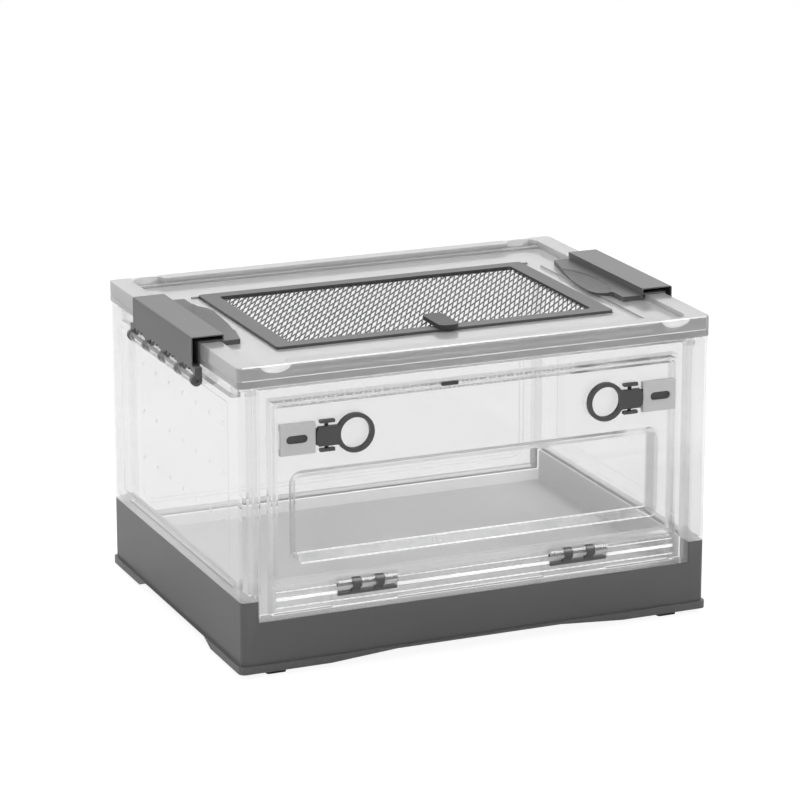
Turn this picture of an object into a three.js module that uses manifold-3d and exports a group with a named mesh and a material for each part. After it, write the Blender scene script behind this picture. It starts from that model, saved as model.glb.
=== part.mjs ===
// A clear, stackable feeding box for reptiles: a dark base tray, clear folding walls, a front
// door with two ring latches, and a clear lid with a mesh hatch, held down by two side clamps.
// Millimetres, +Z up. The origin is the middle of the footprint, on the plane the feet stand on.
// The door is at the front, which faces -Y.

import * as THREE from 'three';
import { mergeVertices } from 'three/addons/utils/BufferGeometryUtils.js';
import Module from 'manifold-3d';

const wasm = await Module();
wasm.setup();

// Overall sizes
const boxLength = 400;
const boxWidth = 300;
const fit = 0.3;
const overrun = 5;
const clearWall = 2.5;

// Base tray
const footDrop = 4;
const flangeHeight = 6;
const flangeStep = 2;
const flangeRadius = 5;
const skirtRadius = 4;
const baseHeight = 57;
const baseSkin = 3;
const baseSideWall = 11.5;
const baseEndWall = 14;
const notchHeight = 39.7;
const slabRise = 24;
const archFrontRise = 4;
const archFrontFlat = 70;
const archFrontEnd = 125;
const archSideRise = 5.6;
const archSideSlope = 15;

// Floor liner
const linerThickness = 2.7;
const linerLip = 2.2;

// Feet, and the stacking pockets above them
const footLength = 16;
const footWidth = 9;
const footRadius = 2;
const footStemRadius = 2.5;
const footStemLength = 9;
const footBossWall = 3;
const stackInsetX = 32;
const stackInsetY = 10.5;
const pocketHalfLength = 13.4;
const pocketDepth = 7.5;

// Side walls
const postWidth = 14;
const postLength = 17;
const wallHeight = 168.4;
const sideBottomRail = 9;
const sideTopRail = 12;
const sideRailDepth = 9;
const sidePanelInset = 8;
const sidePanelStep = 0.8;
const ventRadius = 1.6;
const ventRows = 3;
const ventColumns = 8;
const ventRowPitch = 39;
const ventColumnPitch = 30.3;
const ventShift = -4;
const ventLowestRow = 116;

// Front frame and back wall, which fold inward on stubs at their tops
const sweepGap = 0.6;
const swingGap = 0.5;
const foldGap = 0.8;
const frameDepth = 12;
const frameTopRail = 14.2;
const framePost = 13.7;
const pivotDrop = 6.2;
const pivotSetback = 10;
const pivotRadius = 2;
const pivotReach = 6;
const railStepRise = 9.2;
const railStepDepth = 2.2;
const railRidgeRise = 15;
const railRidgeRadius = 3;
const railLip = 1.6;
const railLipDepth = 1;
const backBorder = 11;
const backPanelStep = 3;

// Door hinges
const doorHingeRise = 21.2;
const doorHingeSetback = 1.5;
const doorHingeRadius = 4.25;
const doorKnuckle = 11;
const frameKnuckle = 7.5;
const knuckleGap = 0.4;
const doorHingeInsets = [75, 83];
const hingePinRadius = 1.5;
const hingePocketGap = 0.75;
const hingePocketDrop = 8.9;
const hingeArm = 3;

// Front door
const doorGap = 0.5;
const doorTopGap = 1.3;
const doorBottomGap = 1.75;
const doorDepth = 9;
const doorRadius = 4;
const panSideMargin = 14;
const panBottomMargin = 15.9;
const panHeight = 70.6;
const panDepth = 10;
const panDraft = 5.5;
const panRadius = 8;

// Door latches, in sizes for the right side
const latchRise = 115.9;
const latchRingInset = 63.3;
const latchRingOuter = 15.6;
const latchRingInner = 12.3;
const latchProud = 5.6;
const latchPad = 1;
const latchBlockLength = 20;
const latchBlockHeight = 15.1;
const latchBlockBulge = 2.4;
const latchTongueHeight = 13;
const latchTongueThickness = 1.6;
const latchTipInset = 0.4;
const coverEndGap = 2.4;
const coverHeight = 24.4;
const coverThickness = 1.2;
const coverSlotLength = 17.4;
const coverSlotHeight = 6.5;
const coverSlotInset = 4.6;
const bracketLength = 12;
const bracketGap = 2.5;
const bracketLink = 3;
const bracketEar = 2.4;
const bracketEarProud = 2.7;

// Bumper pad on the frame's top rail
const bumperX = -26;
const bumperLength = 14;
const bumperHeight = 3;
const bumperThickness = 1.5;
const bumperRise = 1.5;

// Top rim and lid
const rimStepX = 1.2;
const rimStepY = 1.8;
const rimHeight = 5.2;
const rimBandX = 16.5;
const rimBandY = 13.5;
const rimLipHeight = 2;
const lidHeight = 10.7;
const lidBandX = 16.5;
const lidFrontBand = 14;
const lidBackBand = 12;
const ledgeDrop = 4.2;
const recessDrop = 6;
const backLedge = 5;
const platformWidth = 27;
const platformBackY = 72;
const lidSkin = 3;
const hatchLedge = 9;
const hatchLedgeDrop = 8;

// Mesh hatch
const hatchEndMargin = 55.2;
const hatchWidth = 176;
const hatchBorderX = 14;
const hatchBorderY = 12;
const hatchThickness = 3.8;
const hatchGap = 0.4;
const hatchRadius = 3;
const hatchPivotSetback = 2;
const hatchPinRadius = 1.2;
const hatchPinReach = 6;
const hatchPinDepth = 5;
const rebateWidth = 3.2;
const rebateDepth = 1.8;
const meshThickness = 1.2;
const meshEdgeWidth = 3;
const wireWidth = 1.6;
const meshLeastGap = 1.5;
const wirePitchA = 9.2;
const wirePitchB = 5.8;
const wireAngleA = THREE.MathUtils.degToRad(47.3);
const wireAngleB = THREE.MathUtils.degToRad(62.9);

// Finger tab on the hatch
const tabLength = 39;
const tabWidth = 17;
const tabThickness = 3.4;
const tabOverhang = 4;
const tabStemRadius = 2;
const tabStemLength = 3.2;

// Side clamps, in sizes for the right side
const clampLength = 136;
const clampReach = 26.5;
const clampTopThickness = 5;
const clampLegThickness = 6.8;
const clampLegBelowLid = 17.7;
const clampSkin = 0.9;
const clampEdgeRadius = 1.5;
const clampGap = 0.35;
const clampHingeOut = 6.5;
const clampHingeDrop = 27.2;
const clampKnuckleRadius = 4.3;
const clampCapRadius = 4.7;
const clampCapLength = 4;
const clampToothLength = 6;
const clampClearCount = 4;
const clampHingeLength = 150;
const clampPinRadius = 1.5;
const clampStripGap = 1.2;
const notchPitch = 8;
const notchLength = 4;
const notchDepth = 2;
const thumbInset = 28.3;
const thumbHalfLength = 67;
const thumbThickness = 3.7;
const thumbEdgeShares = [
  [0.59, -1], [0.59, -0.75], [0.65, -0.7], [0.84, -0.63], [0.95, -0.57], [1, -0.45],
  [0.97, -0.2], [0.89, 0.15], [0.7, 0.6], [0.49, 1],
];
const scoopDepth = 3;
const scoopHalfLength = 50;
const scoopWidth = 21;
const scoopY = -4.7;

// Steps on round stretches
const cornerSteps = 2;
const ventSteps = 3;
const smallRoundSteps = 4;
const roundSteps = 6;
const bigRoundSteps = 12;
const scoopSteps = 16;

// Planes worked out from the sizes, from the outside in and from the ground up
const skirtX = boxLength / 2 - flangeStep;
const skirtY = boxWidth / 2 - flangeStep;
const postInnerX = skirtX - postWidth;
const postInnerY = skirtY - postLength;
const flangeBottom = footDrop;
const slabBottom = flangeBottom + slabRise;
const slabTop = slabBottom + baseSkin;
const floorTop = slabTop + fit + linerThickness;
const notchTop = flangeBottom + notchHeight;
const baseTop = flangeBottom + baseHeight;
const wallBottom = baseTop + fit;
const wallTop = wallBottom + wallHeight;
const rimBottom = wallTop + fit;
const rimTop = rimBottom + rimHeight;
const lidBottom = rimTop + fit;
const lidTop = lidBottom + lidHeight;
const rimX = boxLength / 2 - rimStepX;
const rimY = boxWidth / 2 - rimStepY;

const frameX = postInnerX - foldGap;
const frameBottom = notchTop + sweepGap;
const frameTop = rimBottom - swingGap - fit;
const frameBackY = skirtY - frameDepth;
const foldY = skirtY - pivotSetback;
const foldZ = frameTop - pivotDrop;
const openingX = frameX - framePost;
const openingTop = frameTop - frameTopRail;
const doorHingeY = -(skirtY - doorHingeSetback);
const doorHingeZ = frameBottom + doorHingeRise;
const railTop = doorHingeZ + doorHingeRadius;
const doorX = openingX - doorGap;
const doorBottom = railTop + doorBottomGap;
const doorTop = openingTop - doorTopGap;
const doorHingeXs = [doorHingeInsets[0] - doorX, doorX - doorHingeInsets[1]];
const doorHingeLength = 3 * doorKnuckle + 2 * frameKnuckle + 4 * knuckleGap;
const latchZ = doorBottom + latchRise;
const latchRingX = doorX - latchRingInset;

const ledgeTop = lidTop - ledgeDrop;
const recessFloor = lidTop - recessDrop;
const lidInnerX = rimX - lidBandX;
const hatchLength = 2 * (rimX - hatchEndMargin);
const hatchSeat = lidTop - hatchLedgeDrop;
const hatchBottom = hatchSeat + fit;
const hatchTop = hatchBottom + hatchThickness;
const hatchPivotY = hatchWidth / 2 - hatchPivotSetback;
const hatchPivotZ = hatchBottom + hatchThickness / 2;
const archSideFlat = clampLength / 2 + clampSkin;
const clampHingeX = skirtX + clampHingeOut;
const clampHingeZ = lidTop - clampHingeDrop;

// Materials, by what the piece is made of
const looks = {
  clear: new THREE.MeshStandardMaterial({ color: 0xe6e8e8, roughness: 0.12, metalness: 0 }),
  darkPlastic: new THREE.MeshStandardMaterial({ color: 0x2b2c2d, roughness: 0.5, metalness: 0 }),
  liner: new THREE.MeshStandardMaterial({ color: 0x9a9c9c, roughness: 0.6, metalness: 0 }),
  greyPlastic: new THREE.MeshStandardMaterial({ color: 0x6f7273, roughness: 0.5, metalness: 0 }),
  cover: new THREE.MeshStandardMaterial({ color: 0xa9abab, roughness: 0.5, metalness: 0 }),
  netWire: new THREE.MeshStandardMaterial({ color: 0x4c4e50, roughness: 0.5, metalness: 0.2 }),
  rubber: new THREE.MeshStandardMaterial({ color: 0x1d1d1e, roughness: 0.8, metalness: 0 }),
  steel: new THREE.MeshStandardMaterial({ color: 0xb8bab9, roughness: 0.35, metalness: 1 }),
};

// Turns an outline's own X, Y and depth into the box's axes, by the direction it is extruded in
const AXIS_X = new THREE.Vector3(1, 0, 0);
const AXIS_Y = new THREE.Vector3(0, 1, 0);
const AXIS_Z = new THREE.Vector3(0, 0, 1);
const frames = {
  x: new THREE.Matrix4().makeBasis(AXIS_Y, AXIS_Z, AXIS_X),
  y: new THREE.Matrix4().makeBasis(AXIS_X, AXIS_Z, AXIS_Y.clone().negate()),
  z: new THREE.Matrix4(),
};

// Solids from three.js geometry

function solidOf(geometry) {
  geometry.deleteAttribute('normal');
  geometry.deleteAttribute('uv');
  const merged = mergeVertices(geometry);
  return new wasm.Manifold(new wasm.Mesh({
    numProp: 3,
    vertProperties: merged.attributes.position.array,
    triVerts: Uint32Array.from(merged.index.array),
  }));
}

function geometryOf(solid) {
  const { vertProperties, triVerts } = solid.getMesh();
  const geometry = new THREE.BufferGeometry();
  geometry.setAttribute('position', new THREE.BufferAttribute(vertProperties, 3));
  geometry.setIndex(new THREE.BufferAttribute(triVerts, 1));
  geometry.computeVertexNormals();
  return geometry;
}

// The same solid, turned half round about the box's upright axis
function turned(solid) {
  const geometry = geometryOf(solid);
  geometry.rotateZ(Math.PI);
  return solidOf(geometry);
}

// A left-hand copy of a right-hand solid
function mirrored(solid) {
  const geometry = geometryOf(solid);
  geometry.scale(-1, 1, 1);
  const corners = geometry.index.array;
  for (let i = 0; i < corners.length; i += 3) {
    [corners[i], corners[i + 1]] = [corners[i + 1], corners[i]];
  }
  return solidOf(geometry);
}

function both(half) {
  return [-half, half];
}

function about(centre, length) {
  return [centre - length / 2, centre + length / 2];
}

function block([x0, x1], [y0, y1], [z0, z1]) {
  const geometry = new THREE.BoxGeometry(x1 - x0, y1 - y0, z1 - z0);
  geometry.translate((x0 + x1) / 2, (y0 + y1) / 2, (z0 + z1) / 2);
  return solidOf(geometry);
}

function extruded(outline, along, [low, high], steps) {
  const geometry = new THREE.ExtrudeGeometry(outline, {
    depth: high - low,
    bevelEnabled: false,
    curveSegments: steps,
  });
  geometry.translate(0, 0, along === 'y' ? -high : low);
  geometry.applyMatrix4(frames[along]);
  return solidOf(geometry);
}

function roundedOutline([a0, a1], [b0, b1], radius) {
  const outline = new THREE.Shape();
  outline.absarc(a1 - radius, b0 + radius, radius, -Math.PI / 2, 0);
  outline.absarc(a1 - radius, b1 - radius, radius, 0, Math.PI / 2);
  outline.absarc(a0 + radius, b1 - radius, radius, Math.PI / 2, Math.PI);
  outline.absarc(a0 + radius, b0 + radius, radius, Math.PI, 3 * Math.PI / 2);
  outline.closePath();
  return outline;
}

function roundedPlate(xs, ys, zs, radius) {
  return extruded(roundedOutline(xs, ys, radius), 'z', zs, cornerSteps);
}

function polygon(points) {
  return new THREE.Shape(points.map(([a, b]) => new THREE.Vector2(a, b)));
}

function rod(along, radius, [a, b], range, steps) {
  const outline = new THREE.Shape();
  outline.absarc(a, b, radius, 0, 2 * Math.PI);
  return extruded(outline, along, range, steps);
}

function joined(solids) {
  return solids.reduce((whole, solid) => whole.add(solid));
}

function cut(solid, tools) {
  return tools.reduce((rest, tool) => rest.subtract(tool), solid);
}

// Base tray: a flanged skirt, hollow from below, with notches for the folding walls
function baseTray() {
  const innerX = skirtX - baseSideWall;
  const innerY = skirtY - baseEndWall;
  const hollowX = skirtX - baseSkin;
  const hollowY = skirtY - baseSkin;
  const below = flangeBottom - overrun;
  const flange = roundedPlate(
    both(boxLength / 2), both(boxWidth / 2),
    [flangeBottom, flangeBottom + flangeHeight], flangeRadius);
  const skirt = roundedPlate(
    both(skirtX), both(skirtY), [flangeBottom + flangeHeight / 2, baseTop], skirtRadius);
  const room = block(both(innerX), both(innerY), [slabTop, baseTop + overrun]);
  const notches = block(
    both(postInnerX), both(skirtY + overrun), [notchTop, baseTop + overrun]);
  const tray = cut(flange.add(skirt), [
    room,
    notches,
    block(both(hollowX), both(hollowY), [below, slabBottom]),
  ]);
  const frontArch = archOutline(archFrontFlat, archFrontEnd, archFrontRise);
  const sideArch = archOutline(archSideFlat, archSideFlat + archSideSlope, archSideRise);
  const arches = [
    extruded(frontArch, 'y', both(boxWidth), cornerSteps),
    extruded(sideArch, 'x', both(boxLength), cornerSteps),
  ];
  const bossBores = footPlaces().map(([x, y]) => rod(
    'z', footStemRadius + fit, [x, y],
    [below, flangeBottom + footStemLength + fit], smallRoundSteps));
  return cut(joined([tray, ...footPlaces().map(footBoss)]), [...arches, ...bossBores]);
}

// The lower edge rises in the middle of each side. The side arches clear the clamps of a like box
// that this one is stacked on.
function archOutline(flat, end, rise) {
  return polygon([
    [-end, flangeBottom - overrun],
    [end, flangeBottom - overrun],
    [end, flangeBottom],
    [flat, flangeBottom + rise],
    [-flat, flangeBottom + rise],
    [-end, flangeBottom],
  ]);
}

function footPlaces() {
  const x = boxLength / 2 - stackInsetX;
  const y = boxWidth / 2 - stackInsetY;
  return [[-x, -y], [x, -y], [x, y], [-x, y]];
}

function footBoss([x, y]) {
  const outerY = Math.sign(y) * (skirtY - baseSkin / 2);
  const innerY = y - Math.sign(y) * (footStemRadius + fit + footBossWall);
  return block(
    about(x, footLength), [Math.min(outerY, innerY), Math.max(outerY, innerY)],
    [flangeBottom, slabBottom + baseSkin / 2]);
}

// Liner: the box's own floor, a shallow tray inside the base
function floorLiner() {
  const outerX = skirtX - baseSideWall - fit;
  const outerY = skirtY - baseEndWall - fit;
  const innerX = outerX - linerLip;
  const innerY = outerY - linerLip;
  const body = block(both(outerX), both(outerY), [slabTop + fit, baseTop - fit]);
  return cut(body, [
    block(both(innerX), both(innerY), [floorTop, baseTop + overrun]),
    block(both(innerX), both(outerY + overrun), [notchTop - fit, baseTop + overrun]),
  ]);
}

// A foot: a soft pad with a stem that plugs into the base's boss
function foot() {
  const pad = roundedPlate(
    about(0, footLength), about(0, footWidth), [0, footDrop - fit], footRadius);
  const stem = rod(
    'z', footStemRadius, [0, 0], [footDrop / 2, flangeBottom + footStemLength], smallRoundSteps);
  return pad.add(stem);
}

// Side wall: two hollow posts, two rails and a thin vented panel, with the clamp's clear knuckles
function sideWall() {
  const height = [wallBottom, wallTop];
  const body = extruded(
    roundedOutline(both(skirtX), both(skirtY), skirtRadius), 'z', height, cornerSteps)
    .intersect(block([postInnerX, boxLength], both(boxWidth), height));
  const railInnerX = skirtX - sideRailDepth;
  const panelInnerX = skirtX - clearWall;
  const panelZ = [wallBottom + sideBottomRail, wallTop - sideTopRail];
  const fullZ = [wallBottom - overrun, wallTop + overrun];
  const postHollowX = [postInnerX + clearWall, panelInnerX];
  const postHollowZ = [wallBottom + clearWall, wallTop - clearWall];
  const postHollowY = [postInnerY - overrun, skirtY - clearWall];
  const between = postInnerY;
  const pivotBore = rod(
    'x', pivotRadius + fit, [foldY, foldZ],
    [postInnerX - overrun, postInnerX + clearWall + fit], smallRoundSteps);
  const farPivotBore = rod(
    'x', pivotRadius + fit, [-foldY, foldZ],
    [postInnerX - overrun, postInnerX + clearWall + fit], smallRoundSteps);
  const framed = block(
    [skirtX - sidePanelStep, skirtX + overrun], both(between - sidePanelInset),
    [panelZ[0] + sidePanelInset / 2, panelZ[1] - sidePanelInset / 2]);
  const wall = cut(body, [
    block([postInnerX - overrun, railInnerX], both(between), fullZ),
    block([railInnerX - overrun, panelInnerX], both(between), panelZ),
    block(postHollowX, postHollowY, postHollowZ),
    block(postHollowX, [-postHollowY[1], -postHollowY[0]], postHollowZ),
    framed,
    pivotBore,
    farPivotBore,
    ...vents(panelInnerX),
  ]);
  const knuckles = clampSegments().clear.map((range) => clampKnuckle(range));
  return cut(joined([wall, ...knuckles]), [clampBore()]);
}

function vents(panelInnerX) {
  const holes = [];
  for (let row = 0; row < ventRows; row += 1) {
    for (let column = 0; column < ventColumns; column += 1) {
      const y = ventShift + ventColumnPitch * (column - (ventColumns - 1) / 2);
      const z = ventLowestRow + ventRowPitch * row;
      holes.push(rod(
        'x', ventRadius, [y, z], [panelInnerX - overrun, skirtX + overrun], ventSteps));
    }
  }
  return holes;
}

// The clamp hinge's run, from end cap to end cap, split into clear and dark knuckles
function clampSegments() {
  const clear = [];
  const dark = [];
  const clearLength = (clampHingeLength - 2 * clampCapLength
    - (clampClearCount - 1) * clampToothLength - 2 * clampClearCount * knuckleGap)
    / clampClearCount;
  let y = -clampHingeLength / 2;
  dark.push([y, y + clampCapLength]);
  y += clampCapLength + knuckleGap;
  for (let i = 0; i < clampClearCount; i += 1) {
    clear.push([y, y + clearLength]);
    y += clearLength + knuckleGap;
    const last = i === clampClearCount - 1;
    dark.push([y, y + (last ? clampCapLength : clampToothLength)]);
    y += (last ? clampCapLength : clampToothLength) + knuckleGap;
  }
  return { clear, dark };
}

function clampKnuckle(range) {
  const barrel = rod('y', clampKnuckleRadius, [clampHingeX, clampHingeZ], range, roundSteps);
  const web = block(
    [skirtX - clearWall / 2, clampHingeX], range,
    [clampHingeZ - clampKnuckleRadius, clampHingeZ + clampKnuckleRadius / 2]);
  return barrel.add(web);
}

function clampBore() {
  return rod(
    'y', clampPinRadius + fit, [clampHingeX, clampHingeZ],
    both(clampHingeLength / 2 + overrun), smallRoundSteps);
}

// A folding wall's pivot stubs, on the given side of the box
function pivotStubs(y) {
  const right = rod(
    'x', pivotRadius, [y, foldZ], [frameX - clearWall / 2, frameX + pivotReach], smallRoundSteps);
  return [right, mirrored(right)];
}

// Front frame: a ring hollow from behind, with a stepped bottom rail that carries the hinges
function frontFrame() {
  const front = -skirtY;
  const back = -frameBackY;
  const openingZ = [railTop, openingTop];
  const hollowY = [front + clearWall, back + overrun];
  const postHollow = block(
    [openingX + clearWall, frameX - clearWall], hollowY,
    [frameBottom + clearWall, frameTop - clearWall]);
  const stepBack = front + railStepDepth;
  const ring = cut(block(both(frameX), [front, back], [frameBottom, frameTop]), [
    block(both(openingX), [front - overrun, back + overrun], openingZ),
    block(
      both(frameX - clearWall), hollowY,
      [openingTop + clearWall, frameTop - clearWall]),
    postHollow,
    mirrored(postHollow),
    block(
      both(openingX), [stepBack + clearWall, back + overrun],
      [frameBottom + clearWall, railTop - clearWall]),
    block(
      both(openingX), [front - overrun, stepBack],
      [frameBottom + railStepRise, railTop + overrun]),
  ]);
  const ridge = rod(
    'x', railRidgeRadius, [front + railRidgeRadius, frameBottom + railRidgeRise],
    both(openingX), smallRoundSteps);
  const lip = block(
    both(openingX), [stepBack - railLipDepth, back], [railTop - railLip, railTop]);
  const seats = doorHingeXs.map((x) => block(
    about(x, doorHingeLength + 2 * clearWall),
    [stepBack, back], [frameBottom + clearWall / 2, railTop]));
  const pockets = doorHingeXs.map((x) => block(
    about(x, doorHingeLength + knuckleGap),
    [front - overrun, doorHingeY + doorHingeRadius + hingePocketGap],
    [doorHingeZ - hingePocketDrop, railTop + overrun]));
  const body = cut(joined([ring, ridge, lip, ...seats]), pockets);
  const knuckles = doorHingeXs.flatMap((x) => frameKnuckles(x));
  const bores = doorHingeXs.map((x) => doorHingeBore(x));
  return cut(joined([body, ...knuckles, ...pivotStubs(-foldY)]), bores);
}

function frameKnuckles(x) {
  const pitch = doorKnuckle + frameKnuckle + 2 * knuckleGap;
  return [-pitch / 2, pitch / 2].map((offset) => {
    const range = about(x + offset, frameKnuckle);
    const barrel = rod('x', doorHingeRadius, [doorHingeY, doorHingeZ], range, roundSteps);
    const web = block(
      range, [doorHingeY, doorHingeY + doorHingeRadius + 2 * hingePocketGap],
      about(doorHingeZ, doorHingeRadius));
    return barrel.add(web);
  });
}

function doorHingeBore(x) {
  return rod(
    'x', hingePinRadius + fit, [doorHingeY, doorHingeZ],
    about(x, doorHingeLength), smallRoundSteps);
}

// Door: a thin front skin with a turned-in edge, a panel pressed inward and its hinge knuckles
function frontDoor() {
  const front = -skirtY;
  const zs = [doorBottom, doorTop];
  const body = extruded(
    roundedOutline(both(doorX), zs, doorRadius), 'y', [front, front + doorDepth], cornerSteps);
  const hollow = block(
    both(doorX - clearWall), [front + clearWall, front + doorDepth + overrun],
    [doorBottom + clearWall, doorTop - clearWall]);
  const panX = doorX - panSideMargin;
  const panZ = [doorBottom + panBottomMargin, doorBottom + panBottomMargin + panHeight];
  const panOutside = pan(panX + clearWall, [panZ[0] - clearWall, panZ[1] + clearWall], clearWall)
    .intersect(block(
      both(boxLength), [front, front + panDepth + clearWall + overrun], [0, lidTop]));
  const shell = cut(cut(body, [hollow]).add(panOutside), [pan(panX, panZ, 0)]);
  const knuckles = doorHingeXs.flatMap((x) => doorKnuckles(x));
  const bores = doorHingeXs.map((x) => doorHingeBore(x));
  return cut(joined([shell, ...knuckles]), bores);
}

// The pressed panel: full size up to the door's face, drawn in behind it by its draft
function pan(halfX, zs, thickness) {
  const outline = roundedOutline(both(halfX), zs, panRadius + thickness);
  const geometry = new THREE.ExtrudeGeometry(outline, {
    depth: overrun,
    bevelEnabled: true,
    bevelThickness: panDepth,
    bevelSize: panDraft,
    bevelOffset: -panDraft,
    bevelSegments: 1,
    curveSegments: smallRoundSteps,
  });
  geometry.translate(0, 0, skirtY - thickness);
  geometry.applyMatrix4(frames.y);
  return solidOf(geometry);
}

function doorKnuckles(x) {
  const pitch = doorKnuckle + frameKnuckle + 2 * knuckleGap;
  return [-pitch, 0, pitch].map((offset) => {
    const range = about(x + offset, doorKnuckle);
    const barrel = rod('x', doorHingeRadius, [doorHingeY, doorHingeZ], range, roundSteps);
    const arm = block(
      range, [-skirtY, -skirtY + hingeArm], [doorHingeZ, doorBottom + clearWall / 2]);
    return barrel.add(arm);
  });
}

function doorHingePin(x) {
  return rod(
    'x', hingePinRadius, [doorHingeY, doorHingeZ], about(x, doorHingeLength), smallRoundSteps);
}

// Depths of the door latch, outward from the door's face
const latchPadY = -skirtY - fit;
const latchBackY = latchPadY - latchPad - fit;
const latchFrontY = -skirtY - latchProud;
const tongueFrontY = latchBackY - latchTongueThickness;
const coverBackY = tongueFrontY - fit;
const coverFrontY = coverBackY - coverThickness;
const latchBlockX = latchRingX + latchRingInner;
const latchBlockEnd = latchBlockX + latchBlockLength;
const coverX = [latchBlockEnd + fit, doorX - coverEndGap];

// Slider: a finger ring, a block and a tongue that runs out under the cover plate
function latchSlider() {
  const ring = cut(
    rod('y', latchRingOuter, [latchRingX, latchZ], [latchFrontY, latchBackY], bigRoundSteps),
    [rod(
      'y', latchRingInner, [latchRingX, latchZ],
      [latchFrontY - overrun, latchBackY + overrun], bigRoundSteps)]);
  const half = latchBlockHeight / 2;
  const outline = new THREE.Shape();
  outline.moveTo(latchBlockX, latchZ - half);
  outline.lineTo(latchBlockEnd - latchBlockBulge, latchZ - half);
  outline.quadraticCurveTo(
    latchBlockEnd + latchBlockBulge, latchZ,
    latchBlockEnd - latchBlockBulge, latchZ + half);
  outline.lineTo(latchBlockX, latchZ + half);
  outline.closePath();
  const slab = extruded(outline, 'y', [latchFrontY, latchBackY], smallRoundSteps);
  const tongue = block(
    [latchBlockX, coverX[1] - latchTipInset], [tongueFrontY, latchBackY],
    about(latchZ, latchTongueHeight));
  return joined([ring, slab.subtract(
    rod(
      'y', latchRingInner, [latchRingX, latchZ],
      [latchFrontY - overrun, latchBackY + overrun], bigRoundSteps)), tongue]);
}

// Cover plate: a channel over the tongue, with a slot that shows it
function latchPlate() {
  const body = block(coverX, [coverFrontY, latchPadY], about(latchZ, coverHeight));
  const channel = block(
    [coverX[0] - overrun, coverX[1] + overrun], [coverBackY, latchPadY + overrun],
    about(latchZ, latchTongueHeight + 2 * fit));
  const radius = coverSlotHeight / 2;
  const slotX = [coverX[1] - coverSlotInset - coverSlotLength, coverX[1] - coverSlotInset];
  const outline = new THREE.Shape();
  outline.absarc(slotX[1] - radius, latchZ, radius, -Math.PI / 2, Math.PI / 2);
  outline.absarc(slotX[0] + radius, latchZ, radius, Math.PI / 2, 3 * Math.PI / 2);
  outline.closePath();
  const slot = extruded(
    outline, 'y', [coverFrontY - overrun, latchPadY + overrun], smallRoundSteps);
  return cut(body, [channel, slot]);
}

// Bracket: a pad behind the slider's block, and a narrow link to an ear above and one below
function latchBracket() {
  const xs = about(latchBlockX + latchBlockLength / 2, bracketLength);
  const padY = [latchPadY - latchPad, latchPadY];
  const earInner = latchBlockHeight / 2 + bracketGap;
  const pad = block(xs, padY, about(latchZ, latchTongueHeight));
  const link = block(
    about(latchBlockX + latchBlockLength / 2, bracketLink), padY,
    about(latchZ, 2 * (earInner + bracketEar)));
  const ears = [1, -1].map((side) => {
    const z0 = latchZ + side * earInner;
    const z1 = latchZ + side * (earInner + bracketEar);
    return block(
      xs, [latchPadY - latchPad - bracketEarProud, latchPadY],
      [Math.min(z0, z1), Math.max(z0, z1)]);
  });
  return joined([pad, link, ...ears]);
}

function doorBumper() {
  return roundedPlateOnFront(
    about(bumperX, bumperLength),
    [openingTop + bumperRise - bumperHeight / 2, openingTop + bumperRise + bumperHeight / 2],
    [-skirtY - fit - bumperThickness, -skirtY - fit], bumperHeight / 3);
}

function roundedPlateOnFront(xs, zs, ys, radius) {
  return extruded(roundedOutline(xs, zs, radius), 'y', ys, cornerSteps);
}

// Back wall: the front frame's outline with a thin panel set in, hollow from inside
function backWall() {
  const body = block(both(frameX), [frameBackY, skirtY], [frameBottom, frameTop]);
  const panelX = frameX - backBorder;
  const panelZ = [frameBottom + backBorder, frameTop - backBorder];
  const borderHollow = block(
    both(frameX - clearWall), [frameBackY - overrun, skirtY - clearWall],
    [frameBottom + clearWall, frameTop - clearWall]);
  const stepOuter = extruded(
    roundedOutline(
      both(panelX + clearWall), [panelZ[0] - clearWall, panelZ[1] + clearWall],
      panRadius + clearWall),
    'y', [skirtY - backPanelStep - clearWall, skirtY], cornerSteps);
  const stepInner = extruded(
    roundedOutline(both(panelX), panelZ, panRadius), 'y',
    [skirtY - backPanelStep, skirtY + overrun], cornerSteps);
  const shell = cut(cut(body, [borderHollow]).add(stepOuter), [stepInner]);
  return joined([shell, ...pivotStubs(foldY)]);
}

// Top rim: ties the posts together under the lid
function topRim() {
  const innerX = rimX - rimBandX;
  const innerY = rimY - rimBandY;
  const ring = roundedPlate(both(rimX), both(rimY), [rimBottom, rimTop], skirtRadius);
  const groove = cut(
    block(both(rimX - clearWall), both(rimY - clearWall), [rimTop - rimLipHeight, rimTop + overrun]),
    [block(both(innerX + clearWall), both(innerY + clearWall), [rimBottom, rimTop + overrun])]);
  return cut(ring, [
    roundedPlate(both(innerX), both(innerY), [rimBottom - overrun, rimTop + overrun], skirtRadius),
    groove,
  ]);
}

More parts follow.
